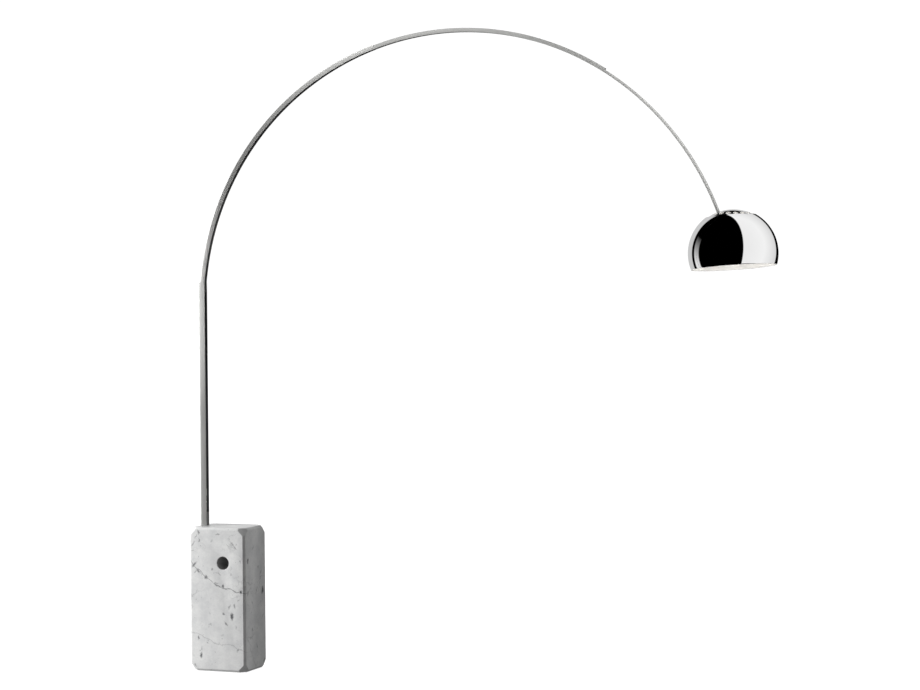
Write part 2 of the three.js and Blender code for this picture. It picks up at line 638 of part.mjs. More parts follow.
// ---- Leads, held inside the channels ----
function leadTube(path, steps) {
  const outline = new THREE.Shape().absarc(0, 0, LEAD_RADIUS, 0, 2 * Math.PI);
  const options = { steps, extrudePath: path, bevelEnabled: false, curveSegments: 4 };
  return new THREE.ExtrudeGeometry(outline, options);
}

const leadX = footCentre.x - FOOT_RADIUS - LEAD_INSET;
piece(lamp, 'stem_lead', leadSheath, leadTube(chain(
  new THREE.LineCurve3(
    new THREE.Vector3(leadX, LEAD_SIDE, TERMINAL.top + GAP),
    new THREE.Vector3(leadX, LEAD_SIDE, footCentre.z),
  ),
  footArc(LEAD_INSET, 180, FOOT_BLEND, LEAD_SIDE),
  mainArc(LEAD_INSET, FOOT_BLEND, STEM_LEAD_END, LEAD_SIDE),
), LEAD_STEPS.channel));

const armPath = mainArc(LEAD_INSET, ARM_LEAD.tail, ARM_LEAD.end, -LEAD_SIDE);
piece(lamp, 'arm_lead', leadSheath, leadTube(armPath, LEAD_STEPS.channel));

// From section 3's tip the lead bends over to the hole in the lampholder's cap.
const entry = new THREE.Vector3(HEAD.x + LEAD_ENTRY.x, LEAD_ENTRY.y, HEAD.z + HOLDER.top);
piece(lamp, 'head_lead', leadSheath, leadTube(new THREE.CatmullRomCurve3([
  onMainArc(LEAD_INSET, ARM_LEAD.end - 0.2).setY(-LEAD_SIDE),
  onMainArc(LEAD_INSET, ARM_LEAD.end - 1).setY(-LEAD_SIDE - 0.5),
  entry.clone().add(new THREE.Vector3(-17, 1.5, 11)),
  entry.clone().add(new THREE.Vector3(-6, 0.2, 12)),
  entry.clone().add(new THREE.Vector3(0, 0, 3)),
  entry.clone().add(new THREE.Vector3(0, 0, -9)),
]), LEAD_STEPS.head));

export default lamp;
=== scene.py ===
import json
import math

import bmesh
import bpy
from mathutils import Matrix, Vector

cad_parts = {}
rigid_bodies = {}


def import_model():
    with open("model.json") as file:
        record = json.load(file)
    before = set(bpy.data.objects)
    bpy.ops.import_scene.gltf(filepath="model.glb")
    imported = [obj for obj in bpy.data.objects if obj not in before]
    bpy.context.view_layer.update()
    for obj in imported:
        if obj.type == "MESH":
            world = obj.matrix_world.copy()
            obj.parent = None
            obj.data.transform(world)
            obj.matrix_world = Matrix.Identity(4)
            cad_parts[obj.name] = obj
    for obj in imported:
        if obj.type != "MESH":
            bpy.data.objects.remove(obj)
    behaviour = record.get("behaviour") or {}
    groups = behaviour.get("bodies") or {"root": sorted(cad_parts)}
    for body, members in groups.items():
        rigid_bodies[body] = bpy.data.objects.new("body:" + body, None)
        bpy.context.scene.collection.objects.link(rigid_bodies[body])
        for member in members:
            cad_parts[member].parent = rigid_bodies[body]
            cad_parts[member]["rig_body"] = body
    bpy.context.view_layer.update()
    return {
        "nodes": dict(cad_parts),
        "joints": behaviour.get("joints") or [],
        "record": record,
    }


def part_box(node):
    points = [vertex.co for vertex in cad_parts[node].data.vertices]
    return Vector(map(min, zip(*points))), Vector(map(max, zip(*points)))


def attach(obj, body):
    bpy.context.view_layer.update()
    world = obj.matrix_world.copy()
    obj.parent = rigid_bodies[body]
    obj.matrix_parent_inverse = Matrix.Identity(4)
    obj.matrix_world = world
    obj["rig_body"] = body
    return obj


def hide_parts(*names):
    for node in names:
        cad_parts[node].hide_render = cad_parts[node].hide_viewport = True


# Arc floor lamp: a marble block, a stem, a three-section telescoping arc and a dome shade.
# Shapes are written in millimetres in the CAD's frame and scaled once, when a mesh is made.

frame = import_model()

MM = 0.001
SLOTS = {row["node"]: row["material_slot"] for row in frame["record"]["subparts"]}
JOINTS = {joint["name"]: Vector(joint["pos_m"]) / MM for joint in frame["joints"]}

# ---- Dimensions shared with the CAD ----
GAP = 0.3
WALL = 1.5
BEND = 1.8  # outer radius of a channel's folds
INNER_BEND = 0.3
LIP_BREAK = 0.2  # broken edge along a channel's lips

BASE_LOW, BASE_HIGH = (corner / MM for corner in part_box("marble_base"))
BASE_CHAMFER = 8
BASE_CORNER = 36.5
HANDLE_HOLE = {"x": 25.5, "z": 416, "radius": 25, "flare": 2}
STEM_LOW, STEM_HIGH = (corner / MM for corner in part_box("stem"))
STEM_MIDDLE = -96
ROD_RADIUS = 5
COUNTERBORE = {"radius": 12, "depth": 18}

ARC_CENTRE = (JOINTS["arc_slide_lower"].x, JOINTS["arc_slide_lower"].z)
ARC_RADIUS = 1068
FOOT_RADIUS = 1000
FOOT_BLEND = 125
FOOT_CENTRE = tuple(
    middle + (ARC_RADIUS - FOOT_RADIUS) * turn
    for middle, turn in zip(ARC_CENTRE, (math.cos(math.radians(FOOT_BLEND)), math.sin(math.radians(FOOT_BLEND))))
)
SECTION_1 = {"width": 20.4, "depth": 17, "foot": 1452, "tip": 107}
SECTION_2 = {"width": 16.8, "depth": 14.7, "tail": 117, "tip": 57}
SECTION_3 = {"width": 13.2, "depth": 9.5, "tail": 67, "tip": 19.5}
COUPLER_TONGUE_INSET = 7.5
SCREW = 2  # shank radius of the channels' screws
HEAD_SCREW = 1.3

HEAD = JOINTS["shade_tilt"]
SHADE_RADIUS = 159
SHADE_OPENING = 34
SHADE_RIM = 180 - math.degrees(math.acos(50 / SHADE_RADIUS))
SHEET = 1.4
CAP_RADIUS = 155
CAP_EDGE = 50
SHADE_LEAN = Matrix.Rotation(math.radians(-1.5), 4, "X") @ Matrix.Rotation(math.radians(-3.9), 4, "Y")
VENTS = {"places": 16, "polar": 25.5, "radius": 9}  # the arc's slot takes one of the places

LEAD_RADIUS = 2
LEAD_SIDE = 2.6
LEAD_INSET = 4


# ---- Mesh helpers ----
def arc(x, y, radius, start, stop, count):
    """Points on a circle, by angles in degrees from +X."""
    angles = [math.radians(start + (stop - start) * i / count) for i in range(count + 1)]
    return [(x + radius * math.cos(a), y + radius * math.sin(a)) for a in angles]


def polar(radius, start, stop, count):
    """Points (radius, z) on a sphere's outline, by angles in degrees from +Z."""
    return [(x, z) for z, x in arc(0, 0, radius, start, stop, count)]


def make_mesh(verts, faces, uvs=None):
    mesh = bpy.data.meshes.new("part")
    mesh.from_pydata([Vector(v) * MM for v in verts], [], faces)
    if uvs:
        layer = mesh.uv_layers.new(name="Brush")
        layer.data.foreach_set("uv", [value * MM for uv in uvs for value in uv])
    work = bmesh.new()
    work.from_mesh(mesh)
    bmesh.ops.recalc_face_normals(work, faces=work.faces)
    work.to_mesh(mesh)
    work.free()
    return mesh


def revolve(profile, segments=64, closed=False, place=Matrix()):
    """Turns (radius, z) points about Z. A radius may be a function of the angle. An open profile ends on the axis."""
    verts, faces, rings = [], [], []
    for radius, z in profile:
        rings.append(range(len(verts), len(verts) + (1 if radius == 0 else segments)))
        if radius == 0:
            verts.append((0, 0, z))
            continue
        for i in range(segments):
            angle = 2 * math.pi * i / segments
            r = radius(angle) if callable(radius) else radius
            verts.append((r * math.cos(angle), r * math.sin(angle), z))
    following = rings[1:] + (rings[:1] if closed else [])
    for low, high in zip(rings, following):
        for i in range(segments):
            j = (i + 1) % segments
            corners = [low[i % len(low)], low[j % len(low)], high[j % len(high)], high[i % len(high)]]
            faces.append(tuple(dict.fromkeys(corners)))
    return make_mesh([place @ Vector(v) for v in verts], faces)


def sweep(outline, stations):
    """Sweeps a closed outline of (across, inset) along stations (x, z, outward x, outward z), with end caps."""
    verts, faces, uvs = [], [], []
    count = len(outline)
    around = [0]
    for here, there in zip(outline, outline[1:] + outline[:1]):
        around.append(around[-1] + math.dist(here, there))
    along = [0]
    for here, there in zip(stations, stations[1:]):
        along.append(along[-1] + math.dist(here[:2], there[:2]))
    for x, z, dx, dz in stations:
        verts += [(x + dx * inset, across, z + dz * inset) for across, inset in outline]
    for i in range(len(stations) - 1):
        for j in range(count):
            k = (j + 1) % count
            low, high = i * count, (i + 1) * count
            faces.append((low + j, low + k, high + k, high + j))
            uvs += [
                (along[i], around[j]), (along[i], around[j + 1]),
                (along[i + 1], around[j + 1]), (along[i + 1], around[j]),
            ]
    last = (len(stations) - 1) * count
    faces += [tuple(range(count)), tuple(range(last, last + count))]
    uvs += outline + outline
    return make_mesh(verts, faces, uvs)


def arc_stations(centre, radius, start, stop, step=0.5):
    count = max(2, round(abs(stop - start) / step))
    angles = [math.radians(start + (stop - start) * i / count) for i in range(count + 1)]
    return [
        (centre[0] + radius * math.cos(a), centre[1] + radius * math.sin(a), math.cos(a), math.sin(a))
        for a in angles
    ]


def main_arc(start, stop):
    return arc_stations(ARC_CENTRE, ARC_RADIUS, start, stop)


def foot_angle(z):
    return 180 - math.degrees(math.asin((z - FOOT_CENTRE[1]) / FOOT_RADIUS))


def foot_arc(start, stop):
    return arc_stations(FOOT_CENTRE, FOOT_RADIUS, start, stop)


def on_arc(inset, angle):
    x, z, dx, dz = main_arc(angle, angle)[0]
    return x + dx * inset, z + dz * inset


def on_foot(inset, z):
    angle = math.radians(foot_angle(z))
    reach = FOOT_RADIUS + inset
    return FOOT_CENTRE[0] + reach * math.cos(angle), FOOT_CENTRE[1] + reach * math.sin(angle)


def channel(width, depth):
    """A folded channel's outline, from its open side at inset 0 to its web."""
    half, inner, break_ = width / 2, width / 2 - WALL, LIP_BREAK
    fold, inside = depth - BEND, depth - WALL - INNER_BEND
    return [
        (-half, break_), *arc(-half + BEND, fold, BEND, 180, 90, 5),
        *arc(half - BEND, fold, BEND, 90, 0, 5), (half, break_),
        (half - break_, 0), (inner + break_, 0), (inner, break_),
        *arc(inner - INNER_BEND, inside, INNER_BEND, 0, 90, 2),
        *arc(-inner + INNER_BEND, inside, INNER_BEND, 90, 180, 2),
        (-inner, break_), (-inner - break_, 0), (-half + break_, 0),
    ]


def along_y(x, z):
    """Places something turned about Z so that its axis lies along +Y through (x, z)."""
    return Matrix.Translation((x, 0, z)) @ Matrix.Rotation(math.radians(-90), 4, "X")


def drill(x, z, radius, near, far, segments=48):
    """A cutter along Y."""
    return revolve([(0, near), (radius, near), (radius, far), (0, far)], segments, place=along_y(x, z))


def drill_z(x, y, radius, low, high):
    place = Matrix.Translation((x, y, 0))
    return revolve([(0, low), (radius, low), (radius, high), (0, high)], 48, place=place)


def box_mesh(low, high):
    verts = [(x, y, z) for x in (low[0], high[0]) for y in (low[1], high[1]) for z in (low[2], high[2])]
    faces = [(0, 1, 3, 2), (4, 6, 7, 5), (0, 4, 5, 1), (2, 3, 7, 6), (0, 2, 6, 4), (1, 5, 7, 3)]
    return make_mesh(verts, faces)


def carve(mesh, cutters, bevel=0):
    """Rounds a mesh's edges, if asked to, then cuts the cutters out of it."""
    scene = bpy.context.scene
    stock = bpy.data.objects.new("stock", mesh)
    scene.collection.objects.link(stock)
    if bevel:
        rounding = stock.modifiers.new("edges", "BEVEL")
        rounding.width, rounding.segments, rounding.limit_method = bevel * MM, 3, "ANGLE"
    tools = []
    for cutter in cutters:
        tool = bpy.data.objects.new("tool", cutter)
        scene.collection.objects.link(tool)
        tools.append(tool)
        cut = stock.modifiers.new("cut", "BOOLEAN")
        cut.object, cut.operation, cut.solver = tool, "DIFFERENCE", "EXACT"
    depsgraph = bpy.context.evaluated_depsgraph_get()
    result = bpy.data.meshes.new_from_object(
        stock.evaluated_get(depsgraph), preserve_all_data_layers=True, depsgraph=depsgraph
    )
    for spent in [stock, *tools]:
        bpy.data.objects.remove(spent)
    return result


def piece(node, mesh, *materials, sharp=30):
    """Shows a mesh in place of a CAD node, on the node's body and with its slot."""
    mesh.name = f"{node}_fine"
    mesh.materials.clear()
    for material in materials or [MATERIALS[SLOTS[node]]]:
        mesh.materials.append(material)
    mesh.shade_smooth()
    mesh.set_sharp_from_angle(angle=math.radians(sharp))
    made = bpy.data.objects.new(f"{node}_fine", mesh)
    bpy.context.scene.collection.objects.link(made)
    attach(made, frame["nodes"][node]["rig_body"])
    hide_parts(node)
    return made


# ---- Materials ----
class Shader:
    """A node material built by short calls. Sockets that hold one value all over are set directly."""

    def __init__(self, name, colour, roughness, metallic=0.0, **sockets):
        self.material = bpy.data.materials.new(name)
        self.material.use_nodes = True
        self.tree = self.material.node_tree
        self.surface = self.tree.nodes["Principled BSDF"]
        self.surface.inputs["Base Color"].default_value = (*colour, 1)
        self.surface.inputs["Roughness"].default_value = roughness
        self.surface.inputs["Metallic"].default_value = metallic
        for socket, value in sockets.items():
            self.surface.inputs[socket.replace("_", " ")].default_value = value
        self.material.diffuse_color = (*colour, 1)

    def add(self, kind, inputs=None, output=0, **settings):
        node = self.tree.nodes.new("ShaderNode" + kind)
        for setting, value in settings.items():
            setattr(node, setting, value)
        for socket, value in (inputs or {}).items():
            self.put(node.inputs[socket], value)
        return node.outputs[output]

    def put(self, socket, value):
        if isinstance(value, bpy.types.NodeSocket):
            self.tree.links.new(value, socket)
        else:
            socket.default_value = value

    def set(self, name, value):
        self.put(self.surface.inputs[name], value)

    def math(self, operation, a, b=0.0, clamp=False):
        return self.add("Math", {0: a, 1: b}, operation=operation, use_clamp=clamp)

    def coordinates(self, stretch=(1, 1, 1), shift=(0, 0, 0), uv=False):
        source = self.add("TexCoord", output=2 if uv else 3)
        return self.add("Mapping", {"Vector": source, "Scale": stretch, "Location": shift})

    def noise(self, vector, scale, detail=4.0, roughness=0.5, output=0):
        inputs = {"Vector": vector, "Scale": scale, "Detail": detail, "Roughness": roughness}
        return self.add("TexNoise", inputs, output=output)

    def ramp(self, value, low, high, to_low=0.0, to_high=1.0):
        inputs = {0: value, 1: low, 2: high, 3: to_low, 4: to_high}
        return self.add("MapRange", inputs, clamp=True)

    def mix(self, factor, a, b):
        node = self.tree.nodes.new("ShaderNodeMix")
        node.data_type = "RGBA"
        for socket, value in ((0, factor), (6, a), (7, b)):
            if isinstance(value, tuple) and len(value) == 3:
                value = (*value, 1)
            self.put(node.inputs[socket], value)
        return node.outputs[2]

    def bump(self, height, distance, strength=1.0):
        normal = self.add("Bump", {"Height": height, "Distance": distance, "Strength": strength})
        self.set("Normal", normal)


def vein(shader, distance, width, strength):
    """A dark sheet through the stone: 1 on the sheet and 0 beyond its width."""
    edge = shader.math("DIVIDE", shader.math("ABSOLUTE", distance), width)
    return shader.math("MULTIPLY", shader.ramp(edge, 0.15, 1, 1, 0), strength)


# Dark inclusions in the stone, by how they lean from upright in degrees and how much longer than wide they are.
# On the front face each is x, z, half its width and how dark it is, and on the side face y, z and so on.
FRONT_MARKS = {
    (0, 2.6): [
        (-82, 126, 3, 0.75), (-70, 60, 4, 0.85), (-78, 532, 3, 0.7), (-76, 499, 2.4, 0.6), (74, 254, 3, 0.65),
        (63, 214, 4.6, 0.9), (98, 425, 2.4, 0.4), (-68, 86, 2.4, 0.45), (80, 173, 2.4, 0.4), (-64, 372, 2, 0.4),
    ],
    (38, 2.8): [
        (-98, 406, 3.6, 0.75), (-88, 515, 2.4, 0.5), (-101, 488, 2.6, 0.6), (52, 249, 2.8, 0.55), (91, 276, 2.2, 0.45),
        (-22, 500, 2, 0.3), (-92, 380, 2.4, 0.45), (88, 84, 2.2, 0.5),
    ],
    (-40, 2.8): [
        (-80, 384, 3.6, 0.7), (66, 490, 2.8, 0.5), (77, 478, 2.4, 0.55), (48, 482, 2, 0.35), (10, 376, 2.4, 0.35),
        (37, 185, 2.8, 0.6), (-95, 20, 2.4, 0.4), (60, 372, 2, 0.3),
    ],
    (84, 2.6): [
        (4, 525, 2.8, 0.5), (-5, 337, 2.6, 0.5), (-104, 460, 2.2, 0.4), (-30, 180, 2, 0.25), (20, 140, 2, 0.25),
    ],
    (0, 1.2): [
        (-47, 361, 5.2, 0.75), (26, 326, 4.6, 0.8), (101, 307, 5, 0.95), (-21, 390, 4, 0.5), (25, 223, 4, 0.7),
        (-40, 120, 2.6, 0.3),
    ],
}
SIDE_MARKS = {
    (12, 1.7): [
        (59, 300, 7, 0.85), (23, 394, 3, 0.55), (-33, 157, 3.4, 0.5), (7, 306, 3, 0.4), (-64, 424, 5.5, 0.95),
        (-66, 300, 4.5, 0.6), (70, 25, 5, 0.45),
    ],
    (45, 4): [(45, 372, 2.4, 0.35), (-20, 470, 2.4, 0.3), (60, 200, 2.6, 0.3)],
    (-35, 4): [(-30, 260, 2.4, 0.3), (10, 90, 2.4, 0.3)],
}
MARK_DEPTH = 5  # how much further than its half width a mark reaches into the stone


def marble():
    stone = Shader("polished_marble", (0.78, 0.78, 0.77), 0.16, IOR=1.49)
    place = stone.coordinates()
    wander = stone.add("VectorMath", {
        0: stone.noise(place, 14, 6, 0.62, output=1), 1: (0.5, 0.5, 0.5),
    }, operation="SUBTRACT")
    warped = stone.add("VectorMath", {0: wander, 1: (0.05, 0.05, 0.05)}, operation="MULTIPLY")
    warped = stone.add("VectorMath", {0: place, 1: warped}, operation="ADD")
    ragged = stone.add("VectorMath", {
        0: stone.noise(place, 75, 4, 0.7, output=1), 1: (0.5, 0.5, 0.5),
    }, operation="SUBTRACT")
    ragged = stone.add("VectorMath", {0: ragged, 1: (0.022, 0.022, 0.022)}, operation="MULTIPLY")
    ragged = stone.add("VectorMath", {0: place, 1: ragged}, operation="ADD")
    split = stone.tree.nodes.new("ShaderNodeSeparateXYZ")
    stone.put(split.inputs[0], warped)
    x, y, z = split.outputs

    # The main vein falls and flattens along X. The lower one is straight and fainter. Both fade into the block.
    fall = stone.math("MULTIPLY_ADD", stone.math("MULTIPLY", x, x), 2.27)
    fall.node.inputs[2].default_value = 0.323
    main = stone.math("SUBTRACT", z, stone.math("SUBTRACT", fall, stone.math("MULTIPLY", x, 0.5)))
    main = stone.math("ADD", main, stone.math("MULTIPLY", y, 0.12))
    lower = stone.math("SUBTRACT", z, stone.math("SUBTRACT", 0.113, stone.math("MULTIPLY", x, 0.285)))
    swell = stone.ramp(stone.noise(place, 38, 3), 0.42, 0.72, 0.0016, 0.0062)
    near_front = stone.ramp(y, -0.088, -0.05, 1, 0.12)
    dark = stone.math("MULTIPLY", vein(stone, main, swell, 0.75), near_front)
    faint = vein(stone, lower, stone.math("MULTIPLY", swell, 0.9), 0.3)
    dark = stone.math("MAXIMUM", dark, stone.math("MULTIPLY", faint, near_front))

    # Fine threads follow a contour of a broad noise, and come and go.
    contour = stone.math("SUBTRACT", stone.noise(place, 5.5, 5, 0.6), 0.5)
    patches = stone.ramp(stone.noise(place, 7, 2), 0.48, 0.64)
    threads = stone.math("MULTIPLY", vein(stone, contour, 0.014, 0.3), patches)
    dark = stone.math("MAXIMUM", dark, threads)

    # Small dark flecks, longer than they are wide, in two sizes.
    long_way = stone.add("Mapping", {"Vector": ragged, "Scale": (1, 1, 0.55), "Rotation": (0, 0.25, 0)})
    for scale, rarity, reach, depth in ((34, 0.62, 0.15, 0.5), (80, 0.4, 0.24, 0.46)):
        cells = stone.tree.nodes.new("ShaderNodeTexVoronoi")
        stone.put(cells.inputs["Vector"], long_way)
        cells.inputs["Scale"].default_value = scale
        chosen = stone.add("SeparateColor", {0: cells.outputs["Color"]})
        size = stone.ramp(chosen, rarity, 1.0, 0.001, reach)
        fleck = stone.math("DIVIDE", cells.outputs["Distance"], size)
        dark = stone.math("MAXIMUM", dark, stone.math("MULTIPLY", stone.ramp(fleck, 0.3, 1, 1, 0), depth))

    def marks(turn, stretch, found):
        """Blots with their own lean and stretch. Each is a centre, its half width and how dark it is."""
        level = Matrix.Rotation(turn[1], 3, "Y") @ Matrix.Rotation(turn[0], 3, "X")
        local = stone.add("Mapping", {"Vector": ragged, "Rotation": turn, "Scale": stretch}, vector_type="TEXTURE")
        darkest = 0.0
        for centre, half, depth in found:
            at = Vector(a / b for a, b in zip(level.transposed() @ Vector(centre), stretch)) * MM
            distance = stone.add("VectorMath", {0: local, 1: at}, output=1, operation="DISTANCE")
            darkest = stone.math("MAXIMUM", stone.ramp(distance, 0.6 * half * MM, 1.6 * half * MM, depth, 0), darkest)
        return darkest

    for (lean, length), rows in FRONT_MARKS.items():
        found = [((x_at, BASE_LOW.y, z_at), half, depth) for x_at, z_at, half, depth in rows]
        dark = stone.math("MAXIMUM", dark, marks((0, math.radians(lean), 0), (1, MARK_DEPTH, length), found))
    for (lean, length), rows in SIDE_MARKS.items():
        found = [((BASE_HIGH.x, y_at, z_at), half, depth) for y_at, z_at, half, depth in rows]
        dark = stone.math("MAXIMUM", dark, marks((math.radians(-lean), 0, 0), (MARK_DEPTH, 1, length), found))

    cloud = stone.ramp(stone.noise(place, 16, 7, 0.68), 0.32, 0.68)
    grain = stone.ramp(stone.noise(place, 160, 3, 0.6), 0.25, 0.75)
    body = stone.mix(cloud, (0.64, 0.645, 0.65), (0.83, 0.83, 0.82))
    body = stone.mix(stone.math("MULTIPLY", grain, 0.2), body, (0.5, 0.505, 0.51))
    stone.set("Base Color", stone.mix(dark, body, (0.075, 0.078, 0.085)))
    stone.set("Roughness", stone.ramp(stone.noise(place, 60, 4), 0.3, 0.7, 0.12, 0.22))
    stone.bump(stone.math("ADD", grain, stone.math("MULTIPLY", dark, -1.5)), 0.00012, 0.5)
    return stone.material


def drilled_marble():
    """The unpolished wall of a drilled hole: duller and ringed by the core drill; its darker grey is painted shade
    inside the hole.
    """
    stone = Shader("drilled_marble", (0.3, 0.3, 0.3), 0.6)
    place = stone.coordinates()
    rings = stone.noise(stone.coordinates((6, 900, 6)), 1.0, 3)
    dust = stone.noise(place, 45, 5, 0.6)
    stone.set("Base Color", stone.mix(dust, (0.26, 0.26, 0.26), (0.52, 0.52, 0.515)))
    stone.set("Roughness", stone.ramp(dust, 0.3, 0.7, 0.5, 0.7))
    stone.bump(rings, 0.0003, 0.5)
    return stone.material


def brushed_steel():
    steel = Shader("satin_steel", (0.66, 0.66, 0.645), 0.36, 1.0, Anisotropic=0.8, Anisotropic_Rotation=0.25)
    strokes = steel.coordinates((3, 1500, 1), uv=True)
    lines = steel.noise(strokes, 1.0, 5, 0.65)
    broad = steel.noise(steel.coordinates((0.8, 260, 1), uv=True), 1.0, 2)
    handling = steel.noise(steel.coordinates(), 7, 4)
    shade = steel.ramp(steel.math("ADD", steel.math("MULTIPLY", lines, 0.6), steel.math("MULTIPLY", broad, 0.4)),
                       0.3, 0.7)
    steel.set("Base Color", steel.mix(shade, (0.6, 0.6, 0.585), (0.7, 0.7, 0.685)))
    rough = steel.math("ADD", steel.ramp(lines, 0.3, 0.7, 0.335, 0.365), steel.ramp(handling, 0.4, 0.7, 0, 0.03))
    steel.set("Roughness", rough)
    steel.set("Tangent", steel.add("Tangent", direction_type="UV_MAP", uv_map="Brush"))
    return steel.material


def painted_shade_steel():
    """The insides of the stem and the arc's channels: blotchy and hardly shiny, their dark colour painted shade."""
    scale = Shader("steel_with_painted_shade", (0.16, 0.16, 0.16), 0.55, 1.0)
    place = scale.coordinates()
    blotch = scale.noise(place, 26, 6, 0.65)
    scale.set("Base Color", scale.mix(blotch, (0.08, 0.08, 0.08), (0.2, 0.2, 0.198)))
    scale.set("Roughness", scale.ramp(blotch, 0.3, 0.7, 0.45, 0.65))
    scale.bump(scale.noise(scale.coordinates((8, 8, 1)), 60, 3), 0.00005, 0.5)
    return scale.material


def mirror_dome():
    dome = Shader("mirror_aluminium", (0.955, 0.955, 0.955), 0.03, 1.0)
    centre = tuple(-value * MM for value in HEAD)
    polish = dome.noise(dome.coordinates(shift=centre), 14, 5, 0.6)
    rings = dome.noise(dome.coordinates((2, 2, 900), centre), 1.0, 3)
    dome.set("Roughness", dome.math("ADD", dome.ramp(polish, 0.35, 0.7, 0.012, 0.035), dome.ramp(rings, 0.4, 0.8, 0, 0.01)))
    dome.set("Base Color", dome.mix(polish, (0.93, 0.93, 0.93), (0.97, 0.97, 0.97)))
    return dome.material


def enamel():
    paint = Shader("white_enamel", (0.86, 0.85, 0.83), 0.3, Coat_Weight=0.3, Coat_Roughness=0.12)
    place = paint.coordinates()
    paint.set("Base Color", paint.mix(paint.noise(place, 11, 3), (0.84, 0.83, 0.81), (0.89, 0.885, 0.87)))
    paint.set("Roughness", paint.ramp(paint.noise(place, 40, 3), 0.3, 0.7, 0.26, 0.38))
    paint.bump(paint.noise(place, 420, 2), 0.00006, 0.5)
    return paint.material


def plated_steel():
    zinc = Shader("zinc_plate", (0.5, 0.51, 0.52), 0.36, 1.0, Anisotropic=0.2)
    place = zinc.coordinates()
    bloom = zinc.noise(place, 90, 5, 0.65)
    turned = zinc.noise(zinc.coordinates((1, 1, 30)), 60, 3)
    zinc.set("Base Color", zinc.mix(bloom, (0.42, 0.43, 0.44), (0.6, 0.61, 0.61)))
    zinc.set("Roughness", zinc.ramp(zinc.math("MULTIPLY", bloom, turned), 0.1, 0.4, 0.28, 0.5))
    zinc.bump(turned, 0.00004, 0.4)
    return zinc.material


def plain(name, colour, low_rough, high_rough, scale, bump=0.0, metallic=0.0, variation=0.12, **sockets):
    """A moulded or turned finish: faint colour variation, uneven gloss and a fine surface."""
    made = Shader(name, colour, low_rough, metallic, **sockets)
    place = made.coordinates()
    field = made.noise(place, scale, 5, 0.6)
    darker = tuple(value * (1 - variation) for value in colour)
    lighter = tuple(min(1, value * (1 + variation)) for value in colour)
    made.set("Base Color", made.mix(field, darker, lighter))
    made.set("Roughness", made.ramp(made.noise(place, scale * 2.3, 3), 0.3, 0.7, low_rough, high_rough))
    if bump:
        made.bump(made.noise(place, scale * 9, 2), bump, 0.5)
    return made.material


def frosted_glass():
    glass = Shader("frosted_glass", (0.93, 0.92, 0.9), 0.4)
    glass.set("Emission Color", (1.0, 0.98, 0.955, 1))
    glass.set("Emission Strength", 9.5)
    place = glass.coordinates()
    glass.set("Roughness", glass.ramp(glass.noise(place, 120, 3), 0.3, 0.7, 0.34, 0.5))
    glass.set("Base Color", glass.mix(glass.noise(place, 30, 3), (0.9, 0.89, 0.87), (0.95, 0.95, 0.94)))
    return glass.material


MATERIALS = {
    "marble": marble(),
    "satin_steel": brushed_steel(),
    "bright_dome": mirror_dome(),
    "nylon": plain("black_nylon", (0.045, 0.045, 0.05), 0.45, 0.6, 90, 0.00004),
    "rubber": plain("grommet_rubber", (0.025, 0.025, 0.026), 0.6, 0.8, 120, 0.00006),
    "lead_sheath": plain("pvc_sheath", (0.03, 0.03, 0.032), 0.4, 0.52, 70, 0.00003),
    "porcelain": plain("glazed_porcelain", (0.84, 0.83, 0.8), 0.14, 0.24, 60, 0.00004, variation=0.04),
    "brass": plain("turned_brass", (0.72, 0.53, 0.24), 0.22, 0.36, 110, 0.00002, 1.0),
    "bakelite": plain("moulded_bakelite", (0.02, 0.019, 0.02), 0.2, 0.34, 80, 0.00003),
    "bulb_glass": frosted_glass(),
    "bulb_metal": plain("bulb_aluminium", (0.74, 0.74, 0.75), 0.22, 0.36, 100, 0.00002, 1.0),
    "zinc_steel": plated_steel(),
}
ENAMEL = enamel()
DRILLED = drilled_marble()
SHADE_PAINTED_STEEL = painted_shade_steel()


# ---- Marble block ----
def marble_block():
    insets = (0, BASE_CHAMFER, BASE_CORNER - BASE_CHAMFER)
    orders = [(0, 1, 2), (0, 2, 1), (1, 0, 2), (1, 2, 0), (2, 0, 1), (2, 1, 0)]
    hull = bmesh.new()
    for pick in range(8):
        for order in orders:
            point = []
            for axis in range(3):
                inset = insets[order[axis]]
                high = pick >> axis & 1
                point.append(BASE_HIGH[axis] - inset if high else BASE_LOW[axis] + inset)
            hull.verts.new(Vector(point) * MM)
    bmesh.ops.convex_hull(hull, input=hull.verts)
    bmesh.ops.dissolve_limit(hull, angle_limit=math.radians(2), verts=hull.verts, edges=hull.edges)
    mesh = bpy.data.meshes.new("hull")
    hull.to_mesh(mesh)
    hull.free()

    x, z, radius, flare = (HANDLE_HOLE[key] for key in ("x", "z", "radius", "flare"))
    reach = BASE_HIGH.y + 1
    waist = reach - 1 - flare
    lip = arc(radius + flare, waist, flare, 180, 90, 6)
    hole = [(0, -reach)] + [(r, -y) for r, y in reversed(lip + [(radius + flare, reach)])]
    hole += lip + [(radius + flare, reach), (0, reach)]
    pocket = box_mesh(
        (STEM_LOW.x - 2 * GAP, STEM_LOW.y - GAP, STEM_LOW.z - GAP),
        (STEM_HIGH.x + GAP, STEM_HIGH.y + GAP, BASE_HIGH.z + 1),
    )
    made = piece("marble_base", carve(mesh, [
        revolve(hole, 96, place=along_y(x, z)),
        pocket,
        drill_z(STEM_MIDDLE, 0, ROD_RADIUS + 1, -1, STEM_LOW.z + 1),
        drill_z(STEM_MIDDLE, 0, COUNTERBORE["radius"], -1, COUNTERBORE["depth"]),
    ], bevel=0.9), MATERIALS["marble"], DRILLED)
    # The hole's wall is painted darker grey for the shade inside it.
    for face in made.data.polygons:
        middle = face.center / MM
        drilled = math.hypot(middle.x - x, middle.z - z) < radius + 0.1 and abs(middle.y) < waist + 0.1
        face.material_index = 1 if drilled else 0


